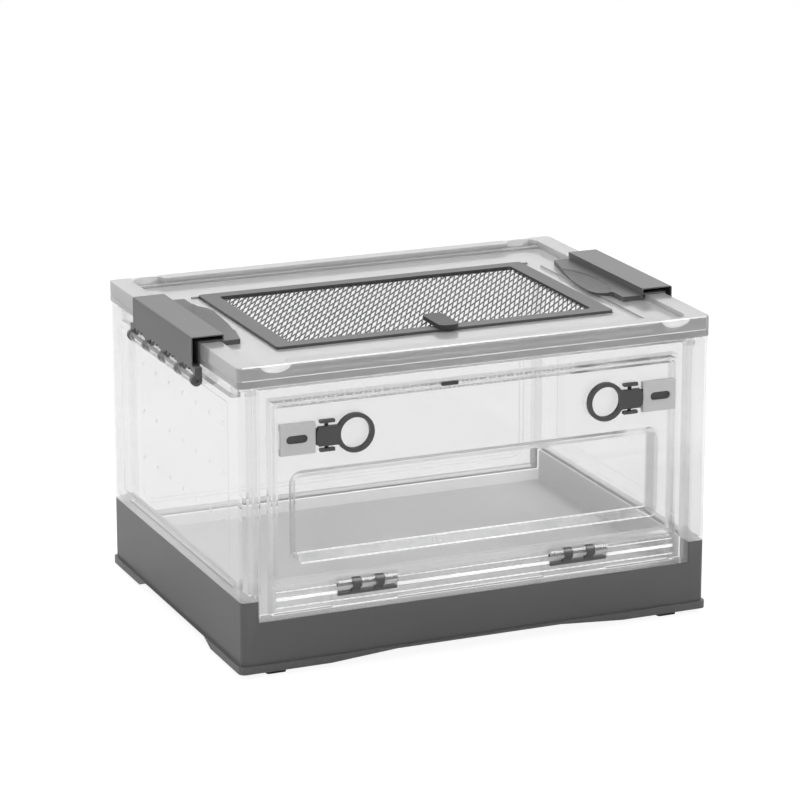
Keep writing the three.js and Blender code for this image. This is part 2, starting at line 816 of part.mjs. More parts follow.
// Lid: a raised edge round a stepped recess, with stacking pockets and a seat for the hatch
function lid() {
  const body = roundedPlate(both(rimX), both(rimY), [lidBottom, lidTop], skirtRadius);
  const above = lidTop + overrun;
  const frontY = -(rimY - lidFrontBand);
  const backY = rimY - lidBackBand;
  const platformX = lidInnerX - platformWidth;
  const slabUnder = recessFloor - lidSkin;
  const below = lidBottom - overrun;
  const hatchX = hatchLength / 2 + hatchGap;
  const hatchBackY = hatchWidth / 2 + 2 * hatchGap;
  const hatchFrontY = -(hatchWidth / 2 + hatchGap);
  const seatOuter = [both(hatchX + lidSkin), [hatchFrontY - lidSkin, hatchBackY + lidSkin]];
  const seat = block(...seatOuter, [hatchSeat - lidSkin + fit, recessFloor]);
  const bandHollowX = [lidInnerX + lidSkin, rimX - lidSkin];
  const bandHollowZ = [below, lidTop - lidSkin];
  const sideHollow = block(bandHollowX, both(rimY - lidSkin), bandHollowZ);
  const endHollows = [
    block(both(rimX - lidSkin), [-rimY + lidSkin, frontY - lidSkin], bandHollowZ),
    block(both(rimX - lidSkin), [backY + lidSkin, rimY - lidSkin], bandHollowZ),
  ];
  const recess = cut(body, [
    block(both(platformX), [frontY, backY - backLedge], [recessFloor, above]),
    block(both(lidInnerX), [platformBackY, backY - backLedge], [recessFloor, above]),
    block(both(lidInnerX), [frontY, backY], [ledgeTop, above]),
    block(both(rimX - lidSkin), both(rimY - lidSkin), [below, slabUnder]),
    sideHollow,
    mirrored(sideHollow),
    ...endHollows,
  ]);
  const pocketWalls = stackPockets(clearWall, [recessFloor - lidSkin, lidTop]);
  const solid = joined([recess, seat, ...pocketWalls]);
  const ears = hatchPinBores();
  return cut(solid, [
    ...stackPockets(0, [lidTop - pocketDepth, above]),
    block(both(hatchX), [hatchFrontY, hatchBackY], [hatchSeat, above]),
    block(
      both(hatchX - hatchLedge), [hatchFrontY + hatchLedge, hatchPivotY - hatchPivotSetback],
      [below, above]),
    block(both(hatchX), [hatchPivotY - 2 * hatchPivotSetback, hatchBackY], [below, above]),
    ...ears,
  ]);
}

// Half-round pockets that take the feet of the box above
function stackPockets(extra, zs) {
  const pockets = [];
  for (const [x, y] of footPlaces()) {
    const side = Math.sign(y);
    const inner = side > 0 ? rimY - lidBackBand : rimY - lidFrontBand;
    const outline = new THREE.Shape();
    outline.absellipse(
      x, side * inner, pocketHalfLength + extra, rimY - clearWall - inner + extra,
      side > 0 ? 0 : Math.PI, side > 0 ? Math.PI : 2 * Math.PI, false, 0);
    outline.closePath();
    pockets.push(extruded(outline, 'z', zs, smallRoundSteps));
  }
  return pockets;
}

function hatchPin() {
  const end = hatchLength / 2 + hatchGap + hatchPinReach;
  return rod(
    'x', hatchPinRadius, [hatchPivotY, hatchPivotZ],
    [hatchLength / 2 - hatchPinDepth, end - fit], smallRoundSteps);
}

function hatchPinBores() {
  const end = hatchLength / 2 + hatchGap + hatchPinReach;
  const bore = rod(
    'x', hatchPinRadius + fit, [hatchPivotY, hatchPivotZ],
    [hatchLength / 2 - hatchPinDepth - fit, end], smallRoundSteps);
  return [bore, mirrored(bore)];
}

// Hatch frame: a flat ring with a rebate below for the mesh
function hatchFrame() {
  const innerX = hatchLength / 2 - hatchBorderX;
  const innerY = hatchWidth / 2 - hatchBorderY;
  const ring = roundedPlate(
    both(hatchLength / 2), both(hatchWidth / 2), [hatchBottom, hatchTop], hatchRadius);
  const [, frontY] = tabCentre();
  return cut(ring, [
    roundedPlate(
      both(innerX), both(innerY), [hatchBottom - overrun, hatchTop + overrun], hatchRadius),
    block(
      both(innerX + rebateWidth), both(innerY + rebateWidth),
      [hatchBottom - overrun, hatchBottom + rebateDepth]),
    rod(
      'z', tabStemRadius + fit, [0, frontY], [hatchBottom - overrun, hatchTop + overrun],
      smallRoundSteps),
    ...hatchPinBores(),
  ]);
}

// Mesh: a flat net in a solid edge. Two rows of slanting wires leave the gaps between them.
function hatchMesh() {
  const halfX = hatchLength / 2 - hatchBorderX + rebateWidth - fit;
  const halfY = hatchWidth / 2 - hatchBorderY + rebateWidth - fit;
  const zs = [hatchBottom + rebateDepth - fit - meshThickness, hatchBottom + rebateDepth - fit];
  const plate = block(both(halfX), both(halfY), zs);
  const windowX = halfX - meshEdgeWidth;
  const windowY = halfY - meshEdgeWidth;
  const cutZ = [zs[0] - overrun, zs[1] + overrun];
  const gaps = extruded(meshGaps(windowX, windowY), 'z', cutZ, cornerSteps);
  return plate.subtract(gaps.intersect(block(both(windowX), both(windowY), cutZ)));
}

// The outlines of all gaps that reach into the window, each between two wires of either row
function meshGaps(windowX, windowY) {
  const rowCount = (angle, pitch) => Math.ceil(
    (windowX * Math.sin(angle) + windowY * Math.cos(angle)) / pitch);
  const countA = rowCount(wireAngleA, wirePitchA);
  const countB = rowCount(wireAngleB, wirePitchB);
  const half = wireWidth / 2;
  const gaps = [];
  for (let i = -countA; i < countA; i += 1) {
    for (let j = -countB; j < countB; j += 1) {
      const a = [i * wirePitchA + half, (i + 1) * wirePitchA - half];
      const b = [j * wirePitchB + half, (j + 1) * wirePitchB - half];
      const corners = [
        crossing(a[0], b[0]), crossing(a[1], b[0]), crossing(a[1], b[1]), crossing(a[0], b[1])];
      const xs = corners.map(([x]) => x);
      const ys = corners.map(([, y]) => y);
      const reaches = Math.min(...xs) < windowX - meshLeastGap
        && Math.max(...xs) > -windowX + meshLeastGap
        && Math.min(...ys) < windowY - meshLeastGap
        && Math.max(...ys) > -windowY + meshLeastGap;
      if (reaches) gaps.push(polygon(corners));
    }
  }
  return gaps;
}

// Where a line along row A, at distance a from the middle, crosses one along row B at distance b
function crossing(a, b) {
  const turn = Math.sin(wireAngleB - wireAngleA);
  return [
    (a * Math.cos(wireAngleB) - b * Math.cos(wireAngleA)) / turn,
    (a * Math.sin(wireAngleB) - b * Math.sin(wireAngleA)) / turn,
  ];
}

function tabCentre() {
  return [0, -hatchWidth / 2 + hatchBorderY / 2];
}

// Finger tab: a long rounded lozenge on the hatch's front border
function hatchTab() {
  const bottom = hatchTop + fit;
  const front = -hatchWidth / 2 - tabOverhang;
  const pad = roundedPlate(
    about(0, tabWidth), [front, front + tabLength], [bottom, bottom + tabThickness],
    tabWidth / 3);
  const stem = rod(
    'z', tabStemRadius, tabCentre(), [bottom - tabStemLength, bottom + tabThickness / 2],
    smallRoundSteps);
  return pad.add(stem);
}

// Side clamp: an angle-shaped bar, hollow from end to end, with a thumb tab and dark knuckles
function sideClamp() {
  const legInner = rimX + clampGap;
  const legOuter = legInner + clampLegThickness;
  const topUnder = lidTop + fit;
  const topOuter = topUnder + clampTopThickness;
  const legBottom = lidTop - clampLegBelowLid;
  const topInner = legOuter - clampReach;
  const ys = both(clampLength / 2);
  const bar = new THREE.Shape();
  bar.moveTo(topInner, topUnder);
  bar.lineTo(legInner, topUnder);
  bar.lineTo(legInner, legBottom);
  bar.lineTo(legOuter, legBottom);
  bar.absarc(
    legOuter - clampEdgeRadius, topOuter - clampEdgeRadius, clampEdgeRadius, 0, Math.PI / 2);
  bar.lineTo(topInner, topOuter);
  bar.closePath();
  const core = polygon([
    [topInner + clampSkin, topUnder + clampSkin],
    [legInner + clampSkin, topUnder + clampSkin],
    [legInner + clampSkin, legBottom + clampSkin],
    [legOuter - clampSkin, legBottom + clampSkin],
    [legOuter - clampSkin, topOuter - clampSkin],
    [topInner + clampSkin, topOuter - clampSkin],
  ]);
  const hollowBar = extruded(bar, 'y', ys, cornerSteps)
    .subtract(extruded(core, 'y', both(clampLength / 2 + overrun), cornerSteps));
  const drop = block(
    [topInner, topInner + clampSkin], both(thumbHalfLength - clampSkin),
    [ledgeTop + fit, topUnder + clampSkin]);
  const { dark } = clampSegments();
  const stripBottom = clampHingeZ + clampCapRadius + clampStripGap;
  const strip = block(
    [legInner + clampSkin, legOuter], both(clampHingeLength / 2),
    [stripBottom, legBottom + clampSkin / 2]);
  const knuckles = dark.map((range, i) => {
    const atEnd = i === 0 || i === dark.length - 1;
    const barrel = rod(
      'y', atEnd ? clampCapRadius : clampKnuckleRadius, [clampHingeX, clampHingeZ],
      range, roundSteps);
    const arm = block(
      [legInner + clampSkin, legOuter], range, [clampHingeZ, stripBottom + clampSkin / 2]);
    return barrel.add(arm);
  });
  return cut(joined([hollowBar, drop, thumbTab(topInner), strip, ...knuckles]), [
    clampBore(),
    ...stripNotches([legInner, legOuter], stripBottom),
  ]);
}

// Small notches that give the strip above the hinge its teeth
function stripNotches([x0, x1], stripBottom) {
  const notches = [];
  for (const [from, to] of clampSegments().clear) {
    const count = Math.floor((to - from) / notchPitch);
    for (let i = 0; i < count; i += 1) {
      const y = (from + to) / 2 + notchPitch * (i - (count - 1) / 2);
      notches.push(block(
        [x0 - overrun, x1 + overrun], about(y, notchLength),
        [stripBottom - overrun, stripBottom + notchDepth]));
    }
  }
  return notches;
}

// Thumb tab: a plate with a curved inner edge and a scoop for the thumb
function thumbTab(topInner) {
  const inner = topInner - thumbInset;
  const root = topInner + clampSkin;
  const bottom = ledgeTop + fit;
  const edge = thumbEdgeShares.map(
    ([inset, along]) => [topInner - inset * thumbInset, along * thumbHalfLength]);
  const outline = polygon([[root, -thumbHalfLength], ...edge, [root, thumbHalfLength]]);
  const pad = extruded(outline, 'z', [bottom, bottom + thumbThickness], smallRoundSteps);
  const scoop = new THREE.SphereGeometry(1, scoopSteps, scoopSteps / 2);
  scoop.rotateX(Math.PI / 2);
  scoop.scale(scoopWidth, scoopHalfLength, scoopDepth);
  scoop.translate(inner, scoopY, bottom + thumbThickness);
  return pad.subtract(solidOf(scoop));
}

function clampPin() {
  return rod(
    'y', clampPinRadius, [clampHingeX, clampHingeZ], both(clampHingeLength / 2),
    smallRoundSteps);
}

// Scene graph. Every solid is modelled in the box's frame, so a piece in a moving group is
// shifted back by the place of that group's axis.

const box = new THREE.Group();
box.name = 'reptile_feeding_box';

function pivotGroup(parent, x, y, z) {
  const group = new THREE.Group();
  parent.updateWorldMatrix(true, false);
  group.position.set(x, y, z).sub(new THREE.Vector3().setFromMatrixPosition(parent.matrixWorld));
  parent.add(group);
  return group;
}

function addPiece(parent, name, solid, material) {
  const geometry = geometryOf(solid);
  parent.updateWorldMatrix(true, false);
  const axis = new THREE.Vector3().setFromMatrixPosition(parent.matrixWorld);
  geometry.translate(-axis.x, -axis.y, -axis.z);
  const mesh = new THREE.Mesh(geometry, material);
  mesh.name = name;
  parent.add(mesh);
  return mesh;
}

addPiece(box, 'base_tray', baseTray(), looks.darkPlastic);
addPiece(box, 'floor_liner', floorLiner(), looks.liner);
const footNames = ['foot_front_left', 'foot_front_right', 'foot_back_right', 'foot_back_left'];
footPlaces().forEach(([x, y], i) => {
  addPiece(box, footNames[i], foot(), looks.rubber).position.set(x, y, 0);
});

const rightWall = sideWall();
addPiece(box, 'side_wall_right', rightWall, looks.clear);
addPiece(box, 'side_wall_left', mirrored(rightWall), looks.clear);
addPiece(box, 'top_rim', topRim(), looks.clear);
addPiece(box, 'lid', lid(), looks.clear);
const rightHatchPin = hatchPin();
addPiece(box, 'hatch_pin_right', rightHatchPin, looks.steel);
addPiece(box, 'hatch_pin_left', mirrored(rightHatchPin), looks.steel);

const frontWallGroup = pivotGroup(box, 0, -foldY, foldZ);
addPiece(frontWallGroup, 'front_frame', frontFrame(), looks.clear);
addPiece(frontWallGroup, 'door_bumper', doorBumper(), looks.rubber);
addPiece(frontWallGroup, 'door_hinge_pin_left', doorHingePin(doorHingeXs[0]), looks.steel);
addPiece(frontWallGroup, 'door_hinge_pin_right', doorHingePin(doorHingeXs[1]), looks.steel);

const doorGroup = pivotGroup(frontWallGroup, 0, doorHingeY, doorHingeZ);
addPiece(doorGroup, 'front_door', frontDoor(), looks.clear);
const rightPlate = latchPlate();
addPiece(doorGroup, 'latch_plate_right', rightPlate, looks.cover);
addPiece(doorGroup, 'latch_plate_left', mirrored(rightPlate), looks.cover);
const rightBracket = latchBracket();
addPiece(doorGroup, 'latch_bracket_right', rightBracket, looks.darkPlastic);
addPiece(doorGroup, 'latch_bracket_left', mirrored(rightBracket), looks.darkPlastic);
const rightSlider = latchSlider();
const rightLatchGroup = pivotGroup(doorGroup, latchRingX, latchFrontY, latchZ);
addPiece(rightLatchGroup, 'latch_slider_right', rightSlider, looks.darkPlastic);
const leftLatchGroup = pivotGroup(doorGroup, -latchRingX, latchFrontY, latchZ);
addPiece(leftLatchGroup, 'latch_slider_left', mirrored(rightSlider), looks.darkPlastic);

const backWallGroup = pivotGroup(box, 0, foldY, foldZ);
addPiece(backWallGroup, 'back_wall', backWall(), looks.clear);

const hatchGroup = pivotGroup(box, 0, hatchPivotY, hatchPivotZ);
addPiece(hatchGroup, 'hatch_frame', hatchFrame(), looks.greyPlastic);
addPiece(hatchGroup, 'hatch_mesh', hatchMesh(), looks.netWire);
addPiece(hatchGroup, 'hatch_tab', hatchTab(), looks.darkPlastic);

// Both clamps are one moulding, so the left one is the right one turned half round
const rightClamp = sideClamp();
const rightClampPin = clampPin();
for (const side of ['right', 'left']) {
  const hand = side === 'right' ? (solid) => solid : turned;
  const x = side === 'right' ? clampHingeX : -clampHingeX;
  const clampGroup = pivotGroup(box, x, 0, clampHingeZ);
  addPiece(clampGroup, `lid_clamp_${side}`, hand(rightClamp), looks.greyPlastic);
  addPiece(box, `lid_clamp_pin_${side}`, hand(rightClampPin), looks.steel);
}

export default box;
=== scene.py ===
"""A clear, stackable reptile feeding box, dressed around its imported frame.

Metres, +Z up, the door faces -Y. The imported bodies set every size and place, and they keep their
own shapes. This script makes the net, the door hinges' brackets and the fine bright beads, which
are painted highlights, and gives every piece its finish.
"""

import math

import bmesh
import bpy
from bpy.props import (
    FloatProperty,
    FloatVectorProperty,
    IntProperty,
    PointerProperty,
)
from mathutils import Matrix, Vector


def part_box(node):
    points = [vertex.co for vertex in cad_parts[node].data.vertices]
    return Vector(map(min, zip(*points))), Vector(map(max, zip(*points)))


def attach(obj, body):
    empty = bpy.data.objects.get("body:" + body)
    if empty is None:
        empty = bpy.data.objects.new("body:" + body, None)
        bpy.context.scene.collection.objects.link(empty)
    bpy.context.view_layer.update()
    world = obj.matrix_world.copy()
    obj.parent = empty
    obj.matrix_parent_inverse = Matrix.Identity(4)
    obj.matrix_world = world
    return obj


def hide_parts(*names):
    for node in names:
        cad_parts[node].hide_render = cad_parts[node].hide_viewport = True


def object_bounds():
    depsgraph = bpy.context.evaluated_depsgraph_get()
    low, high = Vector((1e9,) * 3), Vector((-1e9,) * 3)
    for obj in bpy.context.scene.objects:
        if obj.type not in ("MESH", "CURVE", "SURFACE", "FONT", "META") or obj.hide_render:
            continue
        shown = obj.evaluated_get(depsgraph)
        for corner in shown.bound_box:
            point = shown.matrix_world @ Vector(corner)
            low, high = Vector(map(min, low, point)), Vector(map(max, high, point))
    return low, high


bl_info = {
    "name": "Reptile Feeding Box",
    "version": (1, 0, 0),
    "blender": (4, 5, 0),
    "location": "View3D > Sidebar > Feeding Box",
    "description": "Dresses the packed feeding box with its finishes, net, brackets and beads",
    "category": "Object",
}

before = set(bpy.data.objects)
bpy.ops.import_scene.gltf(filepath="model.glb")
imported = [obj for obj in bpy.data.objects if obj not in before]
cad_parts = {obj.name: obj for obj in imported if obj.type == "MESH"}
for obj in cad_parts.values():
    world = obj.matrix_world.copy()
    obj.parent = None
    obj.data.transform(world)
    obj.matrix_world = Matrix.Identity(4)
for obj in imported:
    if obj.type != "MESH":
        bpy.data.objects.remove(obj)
cad_low, cad_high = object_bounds()

WALL_NODES = ("side_wall_left", "side_wall_right", "back_wall", "front_frame")
LID_NODES = ("top_rim", "lid")
PIN_NODES = (
    "door_hinge_pin_left", "door_hinge_pin_right", "hatch_pin_left", "hatch_pin_right",
    "lid_clamp_pin_left", "lid_clamp_pin_right",
)
FOOT_NODES = ("foot_front_left", "foot_front_right", "foot_back_left", "foot_back_right")
SIDES = ("left", "right")

# Finishes of the clear mouldings, and the strength of the painted glow on the beads, the lid's
# pocket windows and the liner's lips

CLEAR_LOOK = {"ior": 1.04, "roughness": 0.08, "shadow": 0.12}
HAZY_LOOK = {"ior": 1.1, "roughness": 0.3, "shadow": 0.3}
HIGHLIGHT_GLOW = 0.35
WINDOW_GLOW = 0.25
RIM_GLOW = 0.6

# Beads, white strips of painted highlight: width and height, and places behind a front face and
# above an edge of the carrier

FLANGE_STEP = 0.002
BEAD_SET_IN = 0.00045
LID_BEAD_SHORTER = 0.004
PAN_BEAD_SHORTER = 0.0205
DOOR_FIT = 0.0003
HINGE_GAP = 0.0006
BEAD_SIDES = 10
LID_BEAD = (0.0011, 0.0011)
FINE_BEAD = (0.0008, 0.0008)
STEP_BEAD = (0.0011, 0.0009)
RIDGE_BEAD = (0.0018, 0.0026)
PAN_BEAD = (0.0010, 0.0010)
LID_TOP_PLACE = (BEAD_SET_IN, -BEAD_SET_IN)
LID_SEAM_PLACE = (BEAD_SET_IN, 0.0)
STEP_PLACE = (0.0004, 0.0092)
RIDGE_PLACE = (0.0006, 0.0158)
RAIL_PLACE = (0.0022, 0.0212)
PAN_PLACE = (0.0001, 0.02615)
PAN_BACK_PLACE = (0.0096, 0.03145)

# Hinge brackets: sleeves on the frame's knuckles, legs under them and a strip on the pocket's floor

SLEEVE_RADIUS = 0.00425
SLEEVE_WALL = 0.0004
SLEEVE_HALF_WIDTH = 0.00365
SLEEVE_SPACING = 0.00965
SLEEVE_STEPS = 16
SLEEVE_START = math.radians(70)
SLEEVE_SWEEP = math.radians(200)
LEG_FRONT_SHARE = 0.3
LEG_BACK_SHARE = 0.5
LEG_TOP_SHARE = 0.9
STRIP_FRONT_SHARE = 0.35
STRIP_HEIGHT = 0.0022
STRIP_END_GAP = 0.0004
POCKET_DEPTH = 0.0087

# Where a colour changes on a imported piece

LINER_LIP = 0.0026
SCOOP_BELOW_TOP = 0.0016
SCOOP_LENGTH = 0.0275


# Sizes and colours that a user would change


class FeedingBoxPlastics(bpy.types.PropertyGroup):
    """Colours and finishes of the mouldings"""

    clear: FloatVectorProperty(
        name="Clear", description="Tint of the clear walls and the door", subtype="COLOR",
        size=3, min=0.0, max=1.0, default=(0.885, 0.885, 0.885))
    clear_pass: FloatProperty(
        name="Clear Transmission", description="How much light goes straight through the walls",
        min=0.0, max=1.0, default=0.94)
    hazy: FloatVectorProperty(
        name="Hazy", description="Tint of the lid and its rim", subtype="COLOR",
        size=3, min=0.0, max=1.0, default=(0.54, 0.54, 0.54))
    hazy_pass: FloatProperty(
        name="Hazy Transmission", description="How much light goes through the lid and its rim",
        min=0.0, max=1.0, default=0.55)
    # Painted light: near-white pocket windows, which also get a painted glow
    bright: FloatVectorProperty(
        name="Pocket Window", description="Colour of the half-round windows in the lid's faces",
        subtype="COLOR", size=3, min=0.0, max=1.0, default=(0.97, 0.97, 0.97))
    # Painted shade: the pan's slanting side walls tinted darker, where they stand in shade
    pan_side_shade: FloatVectorProperty(
        name="Pan Side", description="Tint of the side walls of the door's pressed pan",
        subtype="COLOR", size=3, min=0.0, max=1.0, default=(0.62, 0.62, 0.62))
    body: FloatVectorProperty(
        name="Body", description="Colour of the base tray and the clamps",
        subtype="COLOR", size=3, min=0.0, max=1.0, default=(0.10, 0.10, 0.101))
    hatch: FloatVectorProperty(
        name="Hatch Frame", description="Colour of the hatch frame and hinge brackets",
        subtype="COLOR", size=3, min=0.0, max=1.0, default=(0.065, 0.065, 0.066))
    tab: FloatVectorProperty(
        name="Finger Tab", description="Colour of the hatch's finger tab", subtype="COLOR",
        size=3, min=0.0, max=1.0, default=(0.022, 0.022, 0.022))
    cover: FloatVectorProperty(
        name="Cover", description="Colour of the latch cover plates", subtype="COLOR",
        size=3, min=0.0, max=1.0, default=(0.56, 0.56, 0.56))
    liner: FloatVectorProperty(
        name="Liner", description="Colour of the floor liner's field", subtype="COLOR",
        size=3, min=0.0, max=1.0, default=(0.47, 0.47, 0.47))
    liner_rim: FloatVectorProperty(
        name="Liner Rim", description="Colour of the floor liner's raised edge", subtype="COLOR",
        size=3, min=0.0, max=1.0, default=(0.97, 0.97, 0.97))
    rubber: FloatVectorProperty(
        name="Rubber", description="Colour of the feet and the bumper pad", subtype="COLOR",
        size=3, min=0.0, max=1.0, default=(0.03, 0.03, 0.03))
    steel: FloatVectorProperty(
        name="Pin Steel", description="Colour of the hinge pins", subtype="COLOR",
        size=3, min=0.0, max=1.0, default=(0.10, 0.10, 0.10))
    latch: FloatVectorProperty(
        name="Latch", description="Colour of the door latches' sliders and brackets",
        subtype="COLOR", size=3, min=0.0, max=1.0, default=(0.055, 0.055, 0.056))
    # Painted shade: the clamps' scoop darkened by its depth, where shade falls in the hollow
    scoop: FloatVectorProperty(
        name="Scoop", description="Colour of the clamps' scoop, where thumbs have polished it",
        subtype="COLOR", size=3, min=0.0, max=1.0, default=(0.045, 0.045, 0.046))
    bracket_edge: FloatProperty(
        name="Bracket Edge", description="Rounding of the hinge brackets' edges",
        subtype="DISTANCE", unit="LENGTH", min=0.0, default=0.0002)


class FeedingBoxNet(bpy.types.PropertyGroup):
    """The hatch's net"""

    wire_width: FloatProperty(
        name="Wire Width", description="Width of a wire in the net",
        subtype="DISTANCE", unit="LENGTH", min=0.0, default=0.0012)
    pitch_a: FloatProperty(
        name="First Pitch", description="Distance between wires of the first row",
        subtype="DISTANCE", unit="LENGTH", min=0.001, default=0.00561)
    pitch_b: FloatProperty(
        name="Second Pitch", description="Distance between wires of the second row",
        subtype="DISTANCE", unit="LENGTH", min=0.001, default=0.00353)
    angle_a: FloatProperty(
        name="First Slant", description="Slant of the first row against the box's length",
        subtype="ANGLE", unit="ROTATION", default=math.radians(47.3))
    angle_b: FloatProperty(
        name="Second Slant", description="Slant of the second row against the box's length",
        subtype="ANGLE", unit="ROTATION", default=math.radians(62.9))
    color: FloatVectorProperty(
        name="Net", description="Colour of the net", subtype="COLOR",
        size=3, min=0.0, max=1.0, default=(0.032, 0.032, 0.032))
    sides: IntProperty(
        name="Wire Sides", description="Sides round each wire", min=4, max=16, default=6)


class FeedingBoxStage(bpy.types.PropertyGroup):
    """Floor, lamps and camera"""

    camera_place: FloatVectorProperty(
        name="Camera", description="Place of the camera", subtype="TRANSLATION",
        unit="LENGTH", size=3, default=(-1.093156, -2.534992, 0.952184))
    camera_yaw: FloatProperty(
        name="Yaw", description="Turn of the camera about the vertical",
        subtype="ANGLE", unit="ROTATION", default=math.radians(-23.2614))
    camera_pitch: FloatProperty(
        name="Pitch", description="How far the camera looks down",
        subtype="ANGLE", unit="ROTATION", default=math.radians(15.9949))
    lens_mm: FloatProperty(
        name="Lens", description="Focal length on a 36 mm wide sensor", min=1.0, default=159.9)
    floor_size: FloatProperty(
        name="Floor Size", description="Length of the floor's side",
        subtype="DISTANCE", unit="LENGTH", min=1.0, default=14.0)
    floor_color: FloatVectorProperty(
        name="Floor", description="Colour of the floor", subtype="COLOR",
        size=3, min=0.0, max=1.0, default=(0.9, 0.9, 0.9))
    floor_seen: FloatVectorProperty(
        name="Floor Shading", description="How much of its light and shadow the floor shows",
        subtype="COLOR", size=3, min=0.0, max=1.0, default=(0.16, 0.16, 0.16))
    floor_glow: FloatProperty(
        name="Floor Glow", description="How bright the floor looks by itself",
        min=0.0, default=0.92)
    world_strength: FloatProperty(
        name="Sky Level", description="How much light comes from all round",
        min=0.0, default=0.3)
    gloss_low: FloatProperty(
        name="Low Gloss", description="How bright the surroundings are in reflections, low down",
        min=0.0, default=0.35)
    gloss_high: FloatProperty(
        name="High Gloss", description="How bright the surroundings are in reflections, overhead",
        min=0.0, default=1.15)
    key_power: FloatProperty(
        name="Key Power", description="Power of the main lamp, above on the left", unit="POWER",
        min=0.0, default=42.0)
    strip_power: FloatProperty(
        name="Strip Power", description="Power of the long lamp over the front", unit="POWER",
        min=0.0, default=11.0)
    gleam_power: FloatProperty(
        name="Gleam Power", description="Power of the lamp that only reflections show",
        unit="POWER", min=0.0, default=50.0)
    top_power: FloatProperty(
        name="Top Power", description="Power of the lamp over the box", unit="POWER",
        min=0.0, default=17.0)


# Shader node helpers


def link(tree, source, target):
    tree.links.new(source, target)


def new_group(name, inputs, outputs):
    """An empty node group with the named sockets, each given as (name, kind, default)."""
    tree = bpy.data.node_groups.new(name, "ShaderNodeTree")
    for socket_name, kind, default in inputs:
        socket = tree.interface.new_socket(socket_name, in_out="INPUT", socket_type=kind)
        socket.default_value = default
    for socket_name, kind in outputs:
        tree.interface.new_socket(socket_name, in_out="OUTPUT", socket_type=kind)
    start = tree.nodes.new("NodeGroupInput")
    end = tree.nodes.new("NodeGroupOutput")
    return tree, start, end


def math_node(tree, operation, *values, clamp=False):
    """A Math node whose inputs are sockets or numbers: its result socket."""
    node = tree.nodes.new("ShaderNodeMath")
    node.operation = operation
    node.use_clamp = clamp
    for i, value in enumerate(values):
        if isinstance(value, (int, float)):
            node.inputs[i].default_value = value
        else:
            link(tree, value, node.inputs[i])
    return node.outputs[0]


def color_mix(tree, mask, low, high):
    """The low colour where the mask is nought, the high one where it is one: result socket."""
    mix = tree.nodes.new("ShaderNodeMix")
    mix.data_type = "RGBA"
    link(tree, mask, mix.inputs["Factor"])
    for name, color in (("A", low), ("B", high)):
        if isinstance(color, bpy.types.NodeSocket):
            link(tree, color, mix.inputs[name])
        else:
            mix.inputs[name].default_value = color
    return mix.outputs["Result"]


def noise(tree, place, scale, detail):
    """A Noise texture of the given detail: its factor socket."""
    texture = tree.nodes.new("ShaderNodeTexNoise")
    texture.inputs["Detail"].default_value = detail
    link(tree, place, texture.inputs["Vector"])
    link(tree, scale, texture.inputs["Scale"])
    return texture.outputs["Fac"]


def moulded_grain():
    """Fine satin grain and slow shading of a moulded surface: colour, roughness and height."""
    tree, start, end = new_group(
        "Moulded Grain",
        [
            ("Color", "NodeSocketColor", (0.5, 0.5, 0.5, 1.0)),
            ("Roughness", "NodeSocketFloat", 0.5),
            ("Grain Scale", "NodeSocketFloat", 900.0),
            ("Cloud Scale", "NodeSocketFloat", 14.0),
            ("Variation", "NodeSocketFloat", 0.1),
        ],
        [
            ("Color", "NodeSocketColor"),
            ("Roughness", "NodeSocketFloat"),
            ("Height", "NodeSocketFloat"),
        ],
    )
    place = tree.nodes.new("ShaderNodeTexCoord").outputs["Object"]
    grain = noise(tree, place, start.outputs["Grain Scale"], detail=3.0)
    cloud = noise(tree, place, start.outputs["Cloud Scale"], detail=2.0)
    centred = math_node(tree, "SUBTRACT", cloud, 0.5)
    spread = math_node(tree, "MULTIPLY", centred, start.outputs["Variation"])
    tinted = tree.nodes.new("ShaderNodeVectorMath")
    tinted.operation = "SCALE"
    link(tree, start.outputs["Color"], tinted.inputs[0])
    link(tree, math_node(tree, "ADD", spread, 1.0), tinted.inputs["Scale"])
    link(tree, tinted.outputs["Vector"], end.inputs["Color"])
    rough = math_node(tree, "ADD", start.outputs["Roughness"], spread, clamp=True)
    link(tree, rough, end.inputs["Roughness"])
    link(tree, grain, end.inputs["Height"])
    return tree


def lighter_edges():
    """Edges and corners a little lighter, by how pointed they are: colour."""
    tree, start, end = new_group(
        "Lighter Edges",
        [
            ("Color", "NodeSocketColor", (0.5, 0.5, 0.5, 1.0)),
            ("Edge Color", "NodeSocketColor", (0.8, 0.8, 0.8, 1.0)),
            ("Amount", "NodeSocketFloat", 0.3),
        ],
        [("Color", "NodeSocketColor")],
    )
    shape = tree.nodes.new("ShaderNodeNewGeometry")
    ramp = tree.nodes.new("ShaderNodeMapRange")
    ramp.inputs["From Min"].default_value = 0.51
    ramp.inputs["From Max"].default_value = 0.6
    link(tree, shape.outputs["Pointiness"], ramp.inputs["Value"])
    amount = math_node(tree, "MULTIPLY", ramp.outputs["Result"], start.outputs["Amount"])
    lightened = color_mix(tree, amount, start.outputs["Color"], start.outputs["Edge Color"])
    link(tree, lightened, end.inputs["Color"])
    return tree


def placed_group(tree, name, builder, values):
    """A group node, made by the builder if the file doesn't hold it yet, with its values set."""
    node = tree.nodes.new("ShaderNodeGroup")
    node.node_tree = bpy.data.node_groups.get(name) or builder()
    for socket_name, value in values.items():
        node.inputs[socket_name].default_value = value
    return node


def rgba(color):
    return (color[0], color[1], color[2], 1.0)


def new_material(name):
    material = bpy.data.materials.new(name)
    material.use_nodes = True
    shader = material.node_tree.nodes["Principled BSDF"]
    return material, material.node_tree, shader


def add_relief(tree, grain, shader, distance, strength):
    """Lets the grain's height show as fine relief."""
    relief = tree.nodes.new("ShaderNodeBump")
    relief.inputs["Distance"].default_value = distance
    relief.inputs["Strength"].default_value = strength
    link(tree, grain.outputs["Height"], relief.inputs["Height"])
    link(tree, relief.outputs["Normal"], shader.inputs["Normal"])


